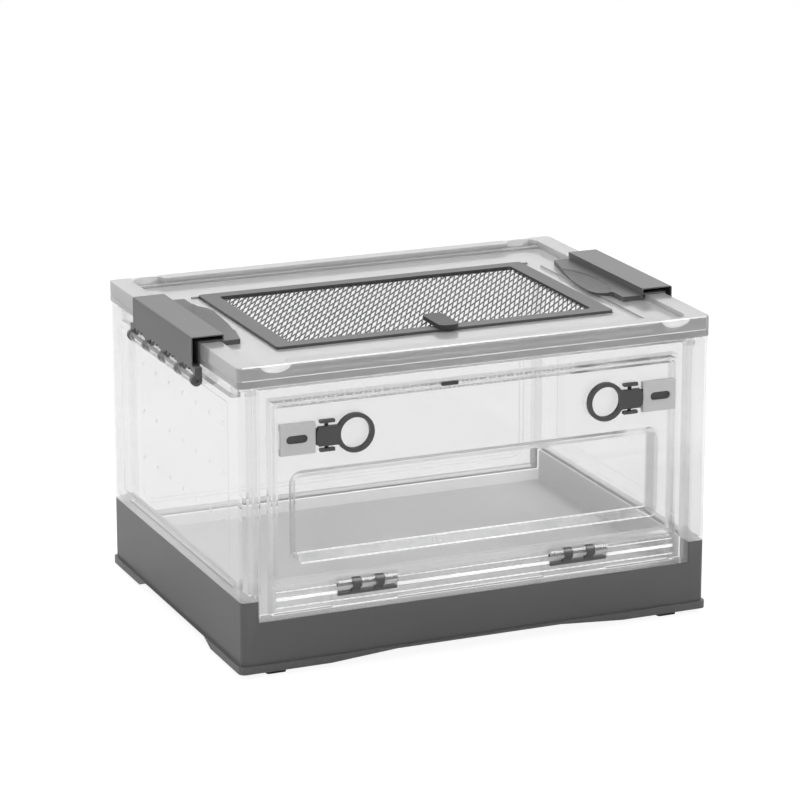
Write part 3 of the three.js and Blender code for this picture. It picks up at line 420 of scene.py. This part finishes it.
def moulded_plastic(name, color, roughness, edge=0.25):
    """Solid plastic with a fine grain, slow shading and slightly lighter edges."""
    if name in bpy.data.materials:
        return bpy.data.materials[name]
    material, tree, shader = new_material(name)
    grain = placed_group(tree, "Moulded Grain", moulded_grain, {
        "Color": rgba(color),
        "Roughness": roughness,
    })
    grain.name = "Grain"
    lighter = [min(1.0, channel * 1.6 + 0.03) for channel in color]
    edges = placed_group(tree, "Lighter Edges", lighter_edges, {
        "Edge Color": rgba(lighter),
        "Amount": edge,
    })
    link(tree, grain.outputs["Color"], edges.inputs["Color"])
    link(tree, edges.outputs["Color"], shader.inputs["Base Color"])
    link(tree, grain.outputs["Roughness"], shader.inputs["Roughness"])
    add_relief(tree, grain, shader, distance=0.00004, strength=0.6)
    return material


def place_parts(tree):
    """Sockets for the place on the object: X without its sign, Y, and Z."""
    place = tree.nodes.new("ShaderNodeTexCoord")
    parts = tree.nodes.new("ShaderNodeSeparateXYZ")
    link(tree, place.outputs["Object"], parts.inputs["Vector"])
    wide = math_node(tree, "ABSOLUTE", parts.outputs["X"])
    return {"wide": wide, "y": parts.outputs["Y"], "z": parts.outputs["Z"]}


def set_in_field():
    """A field inside a tray's lips at its front and back: its colour, and the lips' mask."""
    tree, start, end = new_group(
        "Set-in Field",
        [
            ("Color", "NodeSocketColor", (0.4, 0.4, 0.4, 1.0)),
            ("Rim Color", "NodeSocketColor", (0.7, 0.7, 0.7, 1.0)),
            ("Reach", "NodeSocketFloat", 0.1),
            ("Softness", "NodeSocketFloat", 0.001),
        ],
        [("Color", "NodeSocketColor"), ("Rim", "NodeSocketFloat")],
    )
    reach = math_node(tree, "ABSOLUTE", place_parts(tree)["y"])
    beyond = math_node(tree, "SUBTRACT", reach, start.outputs["Reach"])
    share = math_node(tree, "DIVIDE", beyond, start.outputs["Softness"], clamp=True)
    color = color_mix(tree, share, start.outputs["Color"], start.outputs["Rim Color"])
    link(tree, color, end.inputs["Color"])
    link(tree, share, end.inputs["Rim"])
    return tree


def scoop_shade():
    """Painted shade in a scoop sunk below a top face, inside a distance from the middle: colour."""
    tree, start, end = new_group(
        "Scoop Shade",
        [
            ("Color", "NodeSocketColor", (0.1, 0.1, 0.1, 1.0)),
            ("Scoop Color", "NodeSocketColor", (0.05, 0.05, 0.05, 1.0)),
            ("Top", "NodeSocketFloat", 0.25),
            ("Depth", "NodeSocketFloat", 0.003),
            ("Reach", "NodeSocketFloat", 0.17),
        ],
        [("Color", "NodeSocketColor")],
    )
    place = place_parts(tree)
    below = math_node(tree, "SUBTRACT", start.outputs["Top"], place["z"])
    sunk = math_node(tree, "DIVIDE", below, start.outputs["Depth"], clamp=True)
    inside = math_node(tree, "LESS_THAN", place["wide"], start.outputs["Reach"])
    mask = math_node(tree, "MULTIPLY", sunk, inside)
    color = color_mix(tree, mask, start.outputs["Color"], start.outputs["Scoop Color"])
    link(tree, color, end.inputs["Color"])
    return tree


def painted_pan_shade():
    """The slanting side walls of the door's pressed pan, where painted shade darkens them: mask."""
    tree, start, end = new_group(
        "Painted Pan Shade",
        [
            ("Outside", "NodeSocketFloat", 0.155),
            ("Draft", "NodeSocketFloat", 0.0055),
            ("Bottom", "NodeSocketFloat", 0.09),
            ("Top", "NodeSocketFloat", 0.155),
            ("Face", "NodeSocketFloat", -0.1475),
        ],
        [("Mask", "NodeSocketFloat")],
    )
    place = place_parts(tree)
    inner = math_node(tree, "SUBTRACT", start.outputs["Outside"], start.outputs["Draft"])
    parts = (
        math_node(tree, "LESS_THAN", place["wide"], start.outputs["Outside"]),
        math_node(tree, "GREATER_THAN", place["wide"], inner),
        math_node(tree, "GREATER_THAN", place["z"], start.outputs["Bottom"]),
        math_node(tree, "LESS_THAN", place["z"], start.outputs["Top"]),
        math_node(tree, "GREATER_THAN", place["y"], start.outputs["Face"]),
    )
    mask = parts[0]
    for part in parts[1:]:
        mask = math_node(tree, "MULTIPLY", mask, part)
    link(tree, mask, end.inputs["Mask"])
    return tree


def pocket_windows():
    """Half-round windows at the top of the front and back faces, painted lighter and glowing: mask.
    """
    tree, start, end = new_group(
        "Pocket Windows",
        [
            ("Place", "NodeSocketFloat", 0.168),
            ("Top", "NodeSocketFloat", 0.246),
            ("Half Length", "NodeSocketFloat", 0.013),
            ("Depth", "NodeSocketFloat", 0.0066),
            ("Face", "NodeSocketFloat", 0.1475),
            ("Sharpness", "NodeSocketFloat", 4.0),
        ],
        [("Mask", "NodeSocketFloat")],
    )
    place = place_parts(tree)
    off_middle = math_node(tree, "SUBTRACT", place["wide"], start.outputs["Place"])
    along = math_node(tree, "DIVIDE", off_middle, start.outputs["Half Length"])
    below = math_node(tree, "SUBTRACT", start.outputs["Top"], place["z"])
    down = math_node(tree, "DIVIDE", below, start.outputs["Depth"])
    spread = math_node(
        tree, "ADD", math_node(tree, "MULTIPLY", along, along),
        math_node(tree, "MULTIPLY", down, down))
    inside = math_node(
        tree, "MULTIPLY", math_node(tree, "SUBTRACT", 1.0, spread),
        start.outputs["Sharpness"], clamp=True)
    on_face = math_node(
        tree, "GREATER_THAN", math_node(tree, "ABSOLUTE", place["y"]), start.outputs["Face"])
    link(tree, math_node(tree, "MULTIPLY", inside, on_face), end.inputs["Mask"])
    return tree


def clear_plastic(name, color, passes, ior, roughness, shadow):
    """Clear moulding: tinted transmission under a gloss coat, and shadows let through."""
    if name in bpy.data.materials:
        return bpy.data.materials[name]
    material, tree, shader = new_material(name)
    shader.inputs["Transmission Weight"].default_value = passes
    shader.inputs["IOR"].default_value = ior
    shader.inputs["Coat Weight"].default_value = 1.0
    shader.inputs["Coat Roughness"].default_value = 0.1
    grain = placed_group(tree, "Moulded Grain", moulded_grain, {
        "Color": rgba(color),
        "Roughness": roughness,
        "Grain Scale": 60.0,
        "Cloud Scale": 9.0,
        "Variation": 0.06,
    })
    grain.name = "Grain"
    link(tree, grain.outputs["Color"], shader.inputs["Base Color"])
    link(tree, grain.outputs["Roughness"], shader.inputs["Roughness"])
    add_relief(tree, grain, shader, distance=0.0001, strength=0.02)
    path = tree.nodes.new("ShaderNodeLightPath")
    shade = tree.nodes.new("ShaderNodeMapRange")
    shade.inputs["To Min"].default_value = 1.0
    shade.inputs["To Max"].default_value = shadow
    link(tree, path.outputs["Is Shadow Ray"], shade.inputs["Value"])
    link(tree, shade.outputs["Result"], shader.inputs["Alpha"])
    return material


def painted_highlight_bead():
    """Fine white bead of painted highlight, with a painted glow along its length."""
    name = "Bright Bead"
    if name in bpy.data.materials:
        return bpy.data.materials[name]
    material, tree, shader = new_material(name)
    grain = placed_group(tree, "Moulded Grain", moulded_grain, {
        "Color": (0.97, 0.97, 0.97, 1.0),
        "Roughness": 0.2,
        "Grain Scale": 60.0,
        "Cloud Scale": 14.0,
        "Variation": 0.3,
    })
    link(tree, grain.outputs["Color"], shader.inputs["Base Color"])
    link(tree, grain.outputs["Roughness"], shader.inputs["Roughness"])
    link(tree, grain.outputs["Color"], shader.inputs["Emission Color"])
    shader.inputs["Emission Strength"].default_value = HIGHLIGHT_GLOW
    return material


def paint_glow(material, mask, strength):
    """Painted glow: white emission shown where the mask is one."""
    tree = material.node_tree
    shader = tree.nodes["Principled BSDF"]
    glow = color_mix(tree, mask, (0.0, 0.0, 0.0, 1.0), (1.0, 1.0, 1.0, 1.0))
    link(tree, glow, shader.inputs["Emission Color"])
    shader.inputs["Emission Strength"].default_value = strength


def steel_material(plastics):
    name = "Pin Steel"
    if name in bpy.data.materials:
        return bpy.data.materials[name]
    material, tree, shader = new_material(name)
    shader.inputs["Metallic"].default_value = 1.0
    grain = placed_group(tree, "Moulded Grain", moulded_grain, {
        "Color": rgba(plastics.steel),
        "Roughness": 0.32,
        "Grain Scale": 1500.0,
    })
    link(tree, grain.outputs["Color"], shader.inputs["Base Color"])
    link(tree, grain.outputs["Roughness"], shader.inputs["Roughness"])
    return material


# Mesh helpers


def dress(node, material):
    """Gives a CAD node its material."""
    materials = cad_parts[node].data.materials
    materials.clear()
    materials.append(material)


def soften(piece, radius):
    """Joins an added piece's flat faces and rounds its sharp edges."""
    flat = piece.modifiers.new("Flat Faces", "DECIMATE")
    flat.decimate_type = "DISSOLVE"
    flat.angle_limit = math.radians(0.5)
    rounded = piece.modifiers.new("Rounded Edges", "BEVEL")
    rounded.width = radius
    rounded.segments = 2
    rounded.limit_method = "ANGLE"
    rounded.angle_limit = math.radians(32)
    rounded.miter_outer = "MITER_ARC"
    smooth = piece.modifiers.new("Smooth Shading", "WEIGHTED_NORMAL")
    smooth.keep_sharp = False
    smooth.weight = 60


def new_piece(name, mesh_data, material, body):
    """An added piece with its material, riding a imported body."""
    piece = bpy.data.objects.new(name, mesh_data)
    bpy.context.scene.collection.objects.link(piece)
    piece.data.materials.append(material)
    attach(piece, body)
    return piece


def mesh_from_bmesh(name, work, smooth=True):
    """Turns the work mesh into mesh data, with its faces outward."""
    bmesh.ops.recalc_face_normals(work, faces=work.faces)
    data = bpy.data.meshes.new(name)
    work.to_mesh(data)
    work.free()
    for polygon in data.polygons:
        polygon.use_smooth = smooth
    return data


def clipped_line(half_x, half_y, angle, distance):
    """The stretch of a slanting line, at that distance from the middle, inside a rectangle."""
    direction = Vector((math.cos(angle), math.sin(angle)))
    foot = Vector((-math.sin(angle), math.cos(angle))) * distance
    low, high = -math.inf, math.inf
    for axis, half in ((0, half_x), (1, half_y)):
        first = (-half - foot[axis]) / direction[axis]
        second = (half - foot[axis]) / direction[axis]
        low = max(low, min(first, second))
        high = min(high, max(first, second))
    if high - low <= 0:
        return None
    return foot + direction * low, foot + direction * high


def add_bar(work, start, end, width, height, sides):
    """A bar of oval section between two points, closed at its ends."""
    along = (end - start).normalized()
    across = Vector((-along.y, along.x, 0))
    up = Vector((0, 0, 1))
    rings = []
    for point in (start, end):
        ring = []
        for i in range(sides):
            turn = 2 * math.pi * (i + 0.5) / sides
            offset = across * (math.cos(turn) * width / 2) + up * (math.sin(turn) * height / 2)
            ring.append(work.verts.new(point + offset))
        rings.append(ring)
    for i in range(sides):
        j = (i + 1) % sides
        work.faces.new((rings[0][i], rings[0][j], rings[1][j], rings[1][i]))
    work.faces.new(list(reversed(rings[0])))
    work.faces.new(rings[1])


# Operators, one for each piece or group of like pieces


class FEEDBOX_OT_clear_shells(bpy.types.Operator):
    """Finishes the clear walls, frame and door, and the hazy rim and lid, and makes the beads of
    painted highlight
    """

    bl_idname = "feedbox.clear_shells"
    bl_label = "Clear Shells"

    def execute(self, context):
        plastics = context.scene.feedbox_plastics
        clear = clear_plastic(
            "Clear Moulding", plastics.clear, plastics.clear_pass, **CLEAR_LOOK)
        hazy = clear_plastic("Hazy Moulding", plastics.hazy, plastics.hazy_pass, **HAZY_LOOK)
        self.add_windows(hazy, plastics)
        door = clear_plastic("Clear Door", plastics.clear, plastics.clear_pass, **CLEAR_LOOK)
        # Painted shade on the pan's slanting side walls
        sides = placed_group(door.node_tree, "Painted Pan Shade", painted_pan_shade, {})
        self.tint(door, sides.outputs["Mask"], plastics.pan_side_shade)
        shells = ((WALL_NODES, clear), (("front_door",), door), (LID_NODES, hazy))
        for nodes, material in shells:
            for node in nodes:
                dress(node, material)
        self.make_highlight_beads()
        return {"FINISHED"}

    def add_windows(self, material, plastics):
        """Painted light: near-white half-rounds with a painted glow on the lid's faces, where the
        pockets are behind.
        """
        windows = placed_group(material.node_tree, "Pocket Windows", pocket_windows, {
            "Top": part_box("lid")[1].z,
        })
        self.tint(material, windows.outputs["Mask"], plastics.bright)
        paint_glow(material, windows.outputs["Mask"], WINDOW_GLOW)

    def tint(self, material, mask, color):
        """Another colour where the mask is one."""
        tree = material.node_tree
        mixed = color_mix(tree, mask, tree.nodes["Grain"].outputs["Color"], rgba(color))
        link(tree, mixed, tree.nodes["Principled BSDF"].inputs["Base Color"])

    def make_highlight_beads(self):
        """Fine raised beads of painted highlight along the lid's front edges, the door's pan and
        the frame's rail.
        """
        lid_low, lid_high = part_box("lid")
        door_low, door_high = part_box("front_door")
        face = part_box("base_tray")[0].y + FLANGE_STEP
        opening = door_high.x + DOOR_FIT
        lid_run = ((lid_low.x + LID_BEAD_SHORTER, lid_high.x - LID_BEAD_SHORTER),)
        pan_run = ((door_low.x + PAN_BEAD_SHORTER, door_high.x - PAN_BEAD_SHORTER),)
        rail_run = self.between_hinges(opening)
        lid_top = Vector((lid_low.y, lid_high.z))
        lid_foot = Vector((lid_low.y, lid_low.z))
        frame_foot = Vector((face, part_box("front_frame")[0].z))
        door_foot = Vector((face, door_low.z))
        rows = (
            ("lid_highlight_top", "box", lid_run, lid_top, LID_TOP_PLACE, LID_BEAD),
            ("lid_highlight_seam", "box", lid_run, lid_foot, LID_SEAM_PLACE, FINE_BEAD),
            ("frame_highlight_step", "front_wall", ((-opening, opening),), frame_foot, STEP_PLACE,
             STEP_BEAD),
            ("frame_highlight_ridge", "front_wall", rail_run, frame_foot, RIDGE_PLACE, RIDGE_BEAD),
            ("frame_highlight_rail", "front_wall", rail_run, frame_foot, RAIL_PLACE, FINE_BEAD),
            ("door_highlight_pan", "door", pan_run, door_foot, PAN_PLACE, PAN_BEAD),
            ("door_highlight_pan_back", "door", pan_run, door_foot, PAN_BACK_PLACE, PAN_BEAD),
        )
        material = painted_highlight_bead()
        for name, body, spans, edge, place, (width, height) in rows:
            y, z = edge + Vector(place)
            work = bmesh.new()
            for start, end in spans:
                add_bar(
                    work, Vector((start, y, z)), Vector((end, y, z)), width, height, BEAD_SIDES)
            new_piece(name, mesh_from_bmesh(name, work), material, body)

    def between_hinges(self, opening):
        """Stretches of the frame's rail left and right of the hinge pockets and between them."""
        spans = []
        start = -opening
        for side in SIDES:
            low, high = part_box(f"door_hinge_pin_{side}")
            spans.append((start, low.x - HINGE_GAP))
            start = high.x + HINGE_GAP
        spans.append((start, opening))
        return spans


class FEEDBOX_OT_base(bpy.types.Operator):
    """Finishes the base tray, its liner, the feet and the bumper pad"""

    bl_idname = "feedbox.base"
    bl_label = "Base"

    def execute(self, context):
        plastics = context.scene.feedbox_plastics
        dress("base_tray", moulded_plastic("Body Plastic", plastics.body, roughness=0.4))
        dress("floor_liner", self.liner_material(plastics))
        rubber = moulded_plastic("Rubber", plastics.rubber, roughness=0.7)
        for node in (*FOOT_NODES, "door_bumper"):
            dress(node, rubber)
        return {"FINISHED"}

    def liner_material(self, plastics):
        """Liner plastic, darker in the field than on the lips at its front and back, which also get
        a painted glow.
        """
        material = moulded_plastic("Liner Plastic", plastics.liner, roughness=0.55)
        tree = material.node_tree
        field = placed_group(tree, "Set-in Field", set_in_field, {
            "Color": rgba(plastics.liner),
            "Rim Color": rgba(plastics.liner_rim),
            "Reach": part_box("floor_liner")[1].y - LINER_LIP,
        })
        link(tree, field.outputs["Color"], tree.nodes["Grain"].inputs["Color"])
        # Painted glow on the liner's lips
        paint_glow(material, field.outputs["Rim"], RIM_GLOW)
        return material


class FEEDBOX_OT_hatch(bpy.types.Operator):
    """Finishes the hatch frame and its finger tab, and makes the net"""

    bl_idname = "feedbox.hatch"
    bl_label = "Hatch"

    def execute(self, context):
        plastics = context.scene.feedbox_plastics
        dress("hatch_frame", moulded_plastic("Hatch Plastic", plastics.hatch, roughness=0.45))
        dress("hatch_tab", moulded_plastic("Tab Plastic", plastics.tab, roughness=0.55))
        self.make_net(context.scene.feedbox_net)
        return {"FINISHED"}

    def make_net(self, net):
        """Two rows of slanting wires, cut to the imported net's rectangle."""
        low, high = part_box("hatch_mesh")
        half_x = (high.x - low.x) / 2
        half_y = (high.y - low.y) / 2
        centre = (low + high) / 2
        height = high.z - low.z
        work = bmesh.new()
        rows = ((net.angle_a, net.pitch_a), (net.angle_b, net.pitch_b))
        for angle, pitch in rows:
            reach = half_x * abs(math.sin(angle)) + half_y * abs(math.cos(angle))
            count = math.floor(reach / pitch)
            for i in range(-count, count + 1):
                ends = clipped_line(half_x, half_y, angle, i * pitch)
                if ends is None:
                    continue
                start, end = (centre + Vector((p.x, p.y, 0)) for p in ends)
                if (end - start).length > pitch:
                    add_bar(work, start, end, net.wire_width, height, net.sides)
        data = mesh_from_bmesh("net_wires", work)
        material = moulded_plastic("Net Plastic", net.color, roughness=0.5, edge=0.0)
        piece = new_piece("net", data, material, "hatch")
        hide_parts("hatch_mesh")


class FEEDBOX_OT_door_latches(bpy.types.Operator):
    """Finishes the door latches: cover plates, brackets and ring sliders"""

    bl_idname = "feedbox.door_latches"
    bl_label = "Door Latches"

    def execute(self, context):
        plastics = context.scene.feedbox_plastics
        dark = moulded_plastic("Latch Plastic", plastics.latch, roughness=0.4)
        cover = moulded_plastic("Cover Plastic", plastics.cover, roughness=0.5)
        for side in SIDES:
            dress(f"latch_slider_{side}", dark)
            dress(f"latch_bracket_{side}", dark)
            dress(f"latch_plate_{side}", cover)
        return {"FINISHED"}


class FEEDBOX_OT_hinge_brackets(bpy.types.Operator):
    """Makes the dark brackets of the door hinges: a strip with two open sleeves"""

    bl_idname = "feedbox.hinge_brackets"
    bl_label = "Hinge Brackets"

    def execute(self, context):
        plastics = context.scene.feedbox_plastics
        material = moulded_plastic("Bracket Plastic", plastics.hatch, roughness=0.35)
        for side in SIDES:
            low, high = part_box(f"door_hinge_pin_{side}")
            piece = new_piece(
                f"hinge_bracket_{side}", self.bracket_mesh(low, high), material,
                "front_wall")
            soften(piece, plastics.bracket_edge)
        return {"FINISHED"}

    def bracket_mesh(self, low, high):
        """Two sleeves on the frame's knuckles with a leg each, and the strip that joins them."""
        centre = (low + high) / 2
        floor = centre.z - POCKET_DEPTH
        work = bmesh.new()
        for middle in (centre.x - SLEEVE_SPACING, centre.x + SLEEVE_SPACING):
            self.add_sleeve(work, middle, centre)
            self.add_block(
                work,
                (middle - SLEEVE_HALF_WIDTH, centre.y - SLEEVE_RADIUS * LEG_FRONT_SHARE, floor),
                (middle + SLEEVE_HALF_WIDTH, centre.y + SLEEVE_RADIUS * LEG_BACK_SHARE,
                 centre.z - SLEEVE_RADIUS * LEG_TOP_SHARE))
        half = (high.x - low.x) / 2 - STRIP_END_GAP
        self.add_block(
            work, (centre.x - half, centre.y - SLEEVE_RADIUS * STRIP_FRONT_SHARE, floor),
            (centre.x + half, centre.y + SLEEVE_RADIUS, floor + STRIP_HEIGHT))
        return mesh_from_bmesh("hinge_bracket", work)

    def add_sleeve(self, work, middle, centre):
        """An open sleeve about the hinge's line: an arc with a wall, from end to end."""
        rings = []
        for x in (middle - SLEEVE_HALF_WIDTH, middle + SLEEVE_HALF_WIDTH):
            for reach in (SLEEVE_RADIUS - SLEEVE_WALL / 2, SLEEVE_RADIUS + SLEEVE_WALL):
                rings.append(self.arc(work, x, centre, reach))
        inner_low, outer_low, inner_high, outer_high = rings
        strips = (
            (outer_low, outer_high), (inner_high, inner_low),
            (inner_low, outer_low), (outer_high, inner_high))
        for first, second in strips:
            for i in range(SLEEVE_STEPS):
                work.faces.new((first[i], first[i + 1], second[i + 1], second[i]))
        for i in (0, SLEEVE_STEPS):
            work.faces.new((inner_low[i], outer_low[i], outer_high[i], inner_high[i]))

    def arc(self, work, x, centre, reach):
        """Points of a sleeve's arc at one end and one radius."""
        points = []
        for i in range(SLEEVE_STEPS + 1):
            turn = SLEEVE_START + SLEEVE_SWEEP * i / SLEEVE_STEPS
            y = centre.y + reach * math.cos(turn)
            z = centre.z + reach * math.sin(turn)
            points.append(work.verts.new((x, y, z)))
        return points

    def add_block(self, work, low, high):
        """A block between two corners."""
        corners = [
            work.verts.new((x, y, z))
            for x in (low[0], high[0]) for y in (low[1], high[1]) for z in (low[2], high[2])]
        faces = (
            (0, 1, 3, 2), (4, 6, 7, 5), (0, 4, 5, 1),
            (2, 3, 7, 6), (0, 2, 6, 4), (1, 5, 7, 3))
        for face in faces:
            work.faces.new([corners[i] for i in face])


class FEEDBOX_OT_clamps(bpy.types.Operator):
    """Finishes the two side clamps"""

    bl_idname = "feedbox.clamps"
    bl_label = "Side Clamps"

    def execute(self, context):
        plastics = context.scene.feedbox_plastics
        material = moulded_plastic("Clamp Plastic", plastics.body, roughness=0.4)
        tree = material.node_tree
        low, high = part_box("lid_clamp_right")
        # Painted shade: darker the deeper the scoop sinks below the tab's top
        scoop = placed_group(tree, "Scoop Shade", scoop_shade, {
            "Color": rgba(plastics.body),
            "Scoop Color": rgba(plastics.scoop),
            "Top": high.z - SCOOP_BELOW_TOP,
            "Reach": low.x + SCOOP_LENGTH,
        })
        link(tree, scoop.outputs["Color"], tree.nodes["Grain"].inputs["Color"])
        for side in SIDES:
            dress(f"lid_clamp_{side}", material)
        return {"FINISHED"}


class FEEDBOX_OT_pins(bpy.types.Operator):
    """Finishes the hinge pins"""

    bl_idname = "feedbox.pins"
    bl_label = "Hinge Pins"

    def execute(self, context):
        material = steel_material(context.scene.feedbox_plastics)
        for node in PIN_NODES:
            dress(node, material)
        return {"FINISHED"}


class FEEDBOX_OT_stage(bpy.types.Operator):
    """Makes the floor, the lamps, the world and the camera"""

    bl_idname = "feedbox.stage"
    bl_label = "Stage"

    def execute(self, context):
        stage = context.scene.feedbox_stage
        self.make_floor(stage)
        self.make_world(context.scene, stage)
        self.make_lamps(stage)
        self.make_camera(context.scene, stage)
        context.scene.view_settings.view_transform = "Standard"
        return {"FINISHED"}

    def make_floor(self, stage):
        work = bmesh.new()
        bmesh.ops.create_grid(work, x_segments=1, y_segments=1, size=stage.floor_size / 2)
        data = mesh_from_bmesh("floor", work, smooth=False)
        floor = bpy.data.objects.new("floor", data)
        bpy.context.scene.collection.objects.link(floor)
        material, tree, shader = new_material("Floor")
        shader.inputs["Roughness"].default_value = 0.9
        shader.inputs["Specular IOR Level"].default_value = 0.0
        seen = self.seen_rays(tree)
        color = color_mix(tree, seen, rgba(stage.floor_color), rgba(stage.floor_seen))
        link(tree, color, shader.inputs["Base Color"])
        shader.inputs["Emission Color"].default_value = (1.0, 1.0, 1.0, 1.0)
        glow = math_node(tree, "MULTIPLY", seen, stage.floor_glow)
        link(tree, glow, shader.inputs["Emission Strength"])
        floor.data.materials.append(material)

    def seen_rays(self, tree):
        """One where a ray comes from the camera or through clear plastic, else zero."""
        path = tree.nodes.new("ShaderNodeLightPath")
        return math_node(
            tree, "MAXIMUM", path.outputs["Is Camera Ray"], path.outputs["Is Transmission Ray"])

    def make_world(self, scene, stage):
        """White where it is seen, brighter overhead in reflections, and dimmer as light."""
        world = bpy.data.worlds.new("Studio")
        scene.world = world
        world.use_nodes = True
        tree = world.node_tree
        background = tree.nodes["Background"]
        background.inputs["Color"].default_value = (1.0, 1.0, 1.0, 1.0)
        place = tree.nodes.new("ShaderNodeTexCoord")
        parts = tree.nodes.new("ShaderNodeSeparateXYZ")
        link(tree, place.outputs["Generated"], parts.inputs["Vector"])
        sky = tree.nodes.new("ShaderNodeMapRange")
        sky.inputs["From Max"].default_value = 0.25
        sky.inputs["To Min"].default_value = stage.gloss_low
        sky.inputs["To Max"].default_value = stage.gloss_high
        link(tree, parts.outputs["Z"], sky.inputs["Value"])
        path = tree.nodes.new("ShaderNodeLightPath")
        gloss = tree.nodes.new("ShaderNodeMapRange")
        gloss.inputs["To Min"].default_value = stage.world_strength
        link(tree, path.outputs["Is Glossy Ray"], gloss.inputs["Value"])
        link(tree, sky.outputs["Result"], gloss.inputs["To Max"])
        level = tree.nodes.new("ShaderNodeMapRange")
        level.inputs["To Max"].default_value = 1.0
        link(tree, self.seen_rays(tree), level.inputs["Value"])
        link(tree, gloss.outputs["Result"], level.inputs["To Min"])
        link(tree, level.outputs["Result"], background.inputs["Strength"])

    def make_lamps(self, stage):
        """Area lamps aimed at the box's middle, placed from it; only reflections show the gleam."""
        middle = (cad_low + cad_high) / 2
        lamps = (
            ("key", Vector((-1.3, 0.25, 2.5)), stage.key_power, 1.4, 1.4),
            ("strip", Vector((0.9, -1.4, 1.47)), stage.strip_power, 2.4, 0.3),
            ("top", Vector((0.75, 0.45, 2.0)), stage.top_power, 1.1, 0.5),
            ("gleam", Vector((0.60, -0.25, 1.5)), stage.gleam_power, 1.5, 1.3),
        )
        for name, place, power, length, width in lamps:
            light = bpy.data.lights.new(name, "AREA")
            light.energy = power
            light.shape = "RECTANGLE"
            light.size = length
            light.size_y = width
            lamp = bpy.data.objects.new(name, light)
            lamp.location = middle + place
            lamp.rotation_euler = (-place).to_track_quat("-Z", "Y").to_euler()
            bpy.context.scene.collection.objects.link(lamp)
            if name == "gleam":
                lamp.visible_diffuse = False
                lamp.visible_transmission = False

    def make_camera(self, scene, stage):
        data = bpy.data.cameras.new("camera")
        data.sensor_width = 36.0
        data.lens = stage.lens_mm
        camera = bpy.data.objects.new("camera", data)
        camera.location = stage.camera_place
        camera.rotation_euler = (math.pi / 2 - stage.camera_pitch, 0.0, stage.camera_yaw)
        scene.collection.objects.link(camera)
        scene.camera = camera


class FEEDBOX_PT_panel(bpy.types.Panel):
    """Lists the steps that dress the feeding box"""

    bl_idname = "FEEDBOX_PT_panel"
    bl_label = "Feeding Box"
    bl_space_type = "VIEW_3D"
    bl_region_type = "UI"
    bl_category = "Feeding Box"

    def draw(self, context):
        for operator in OPERATORS:
            self.layout.operator(operator.bl_idname)
        for group in ("feedbox_plastics", "feedbox_net", "feedbox_stage"):
            settings = getattr(context.scene, group)
            for name in settings.__annotations__:
                self.layout.prop(settings, name)


OPERATORS = (
    FEEDBOX_OT_stage,
    FEEDBOX_OT_clear_shells,
    FEEDBOX_OT_base,
    FEEDBOX_OT_hatch,
    FEEDBOX_OT_door_latches,
    FEEDBOX_OT_hinge_brackets,
    FEEDBOX_OT_clamps,
    FEEDBOX_OT_pins,
)
SETTINGS = (
    ("feedbox_plastics", FeedingBoxPlastics),
    ("feedbox_net", FeedingBoxNet),
    ("feedbox_stage", FeedingBoxStage),
)


def register():
    for name, group in SETTINGS:
        bpy.utils.register_class(group)
        setattr(bpy.types.Scene, name, PointerProperty(type=group))
    for operator in OPERATORS:
        bpy.utils.register_class(operator)
    bpy.utils.register_class(FEEDBOX_PT_panel)


def unregister():
    bpy.utils.unregister_class(FEEDBOX_PT_panel)
    for operator in reversed(OPERATORS):
        bpy.utils.unregister_class(operator)
    for name, group in reversed(SETTINGS):
        delattr(bpy.types.Scene, name)
        bpy.utils.unregister_class(group)


def main():
    register()
    bpy.ops.feedbox.stage()
    bpy.ops.feedbox.clear_shells()
    bpy.ops.feedbox.base()
    bpy.ops.feedbox.hatch()
    bpy.ops.feedbox.door_latches()
    bpy.ops.feedbox.hinge_brackets()
    bpy.ops.feedbox.clamps()
    bpy.ops.feedbox.pins()


if __name__ == "__main__":
    main()
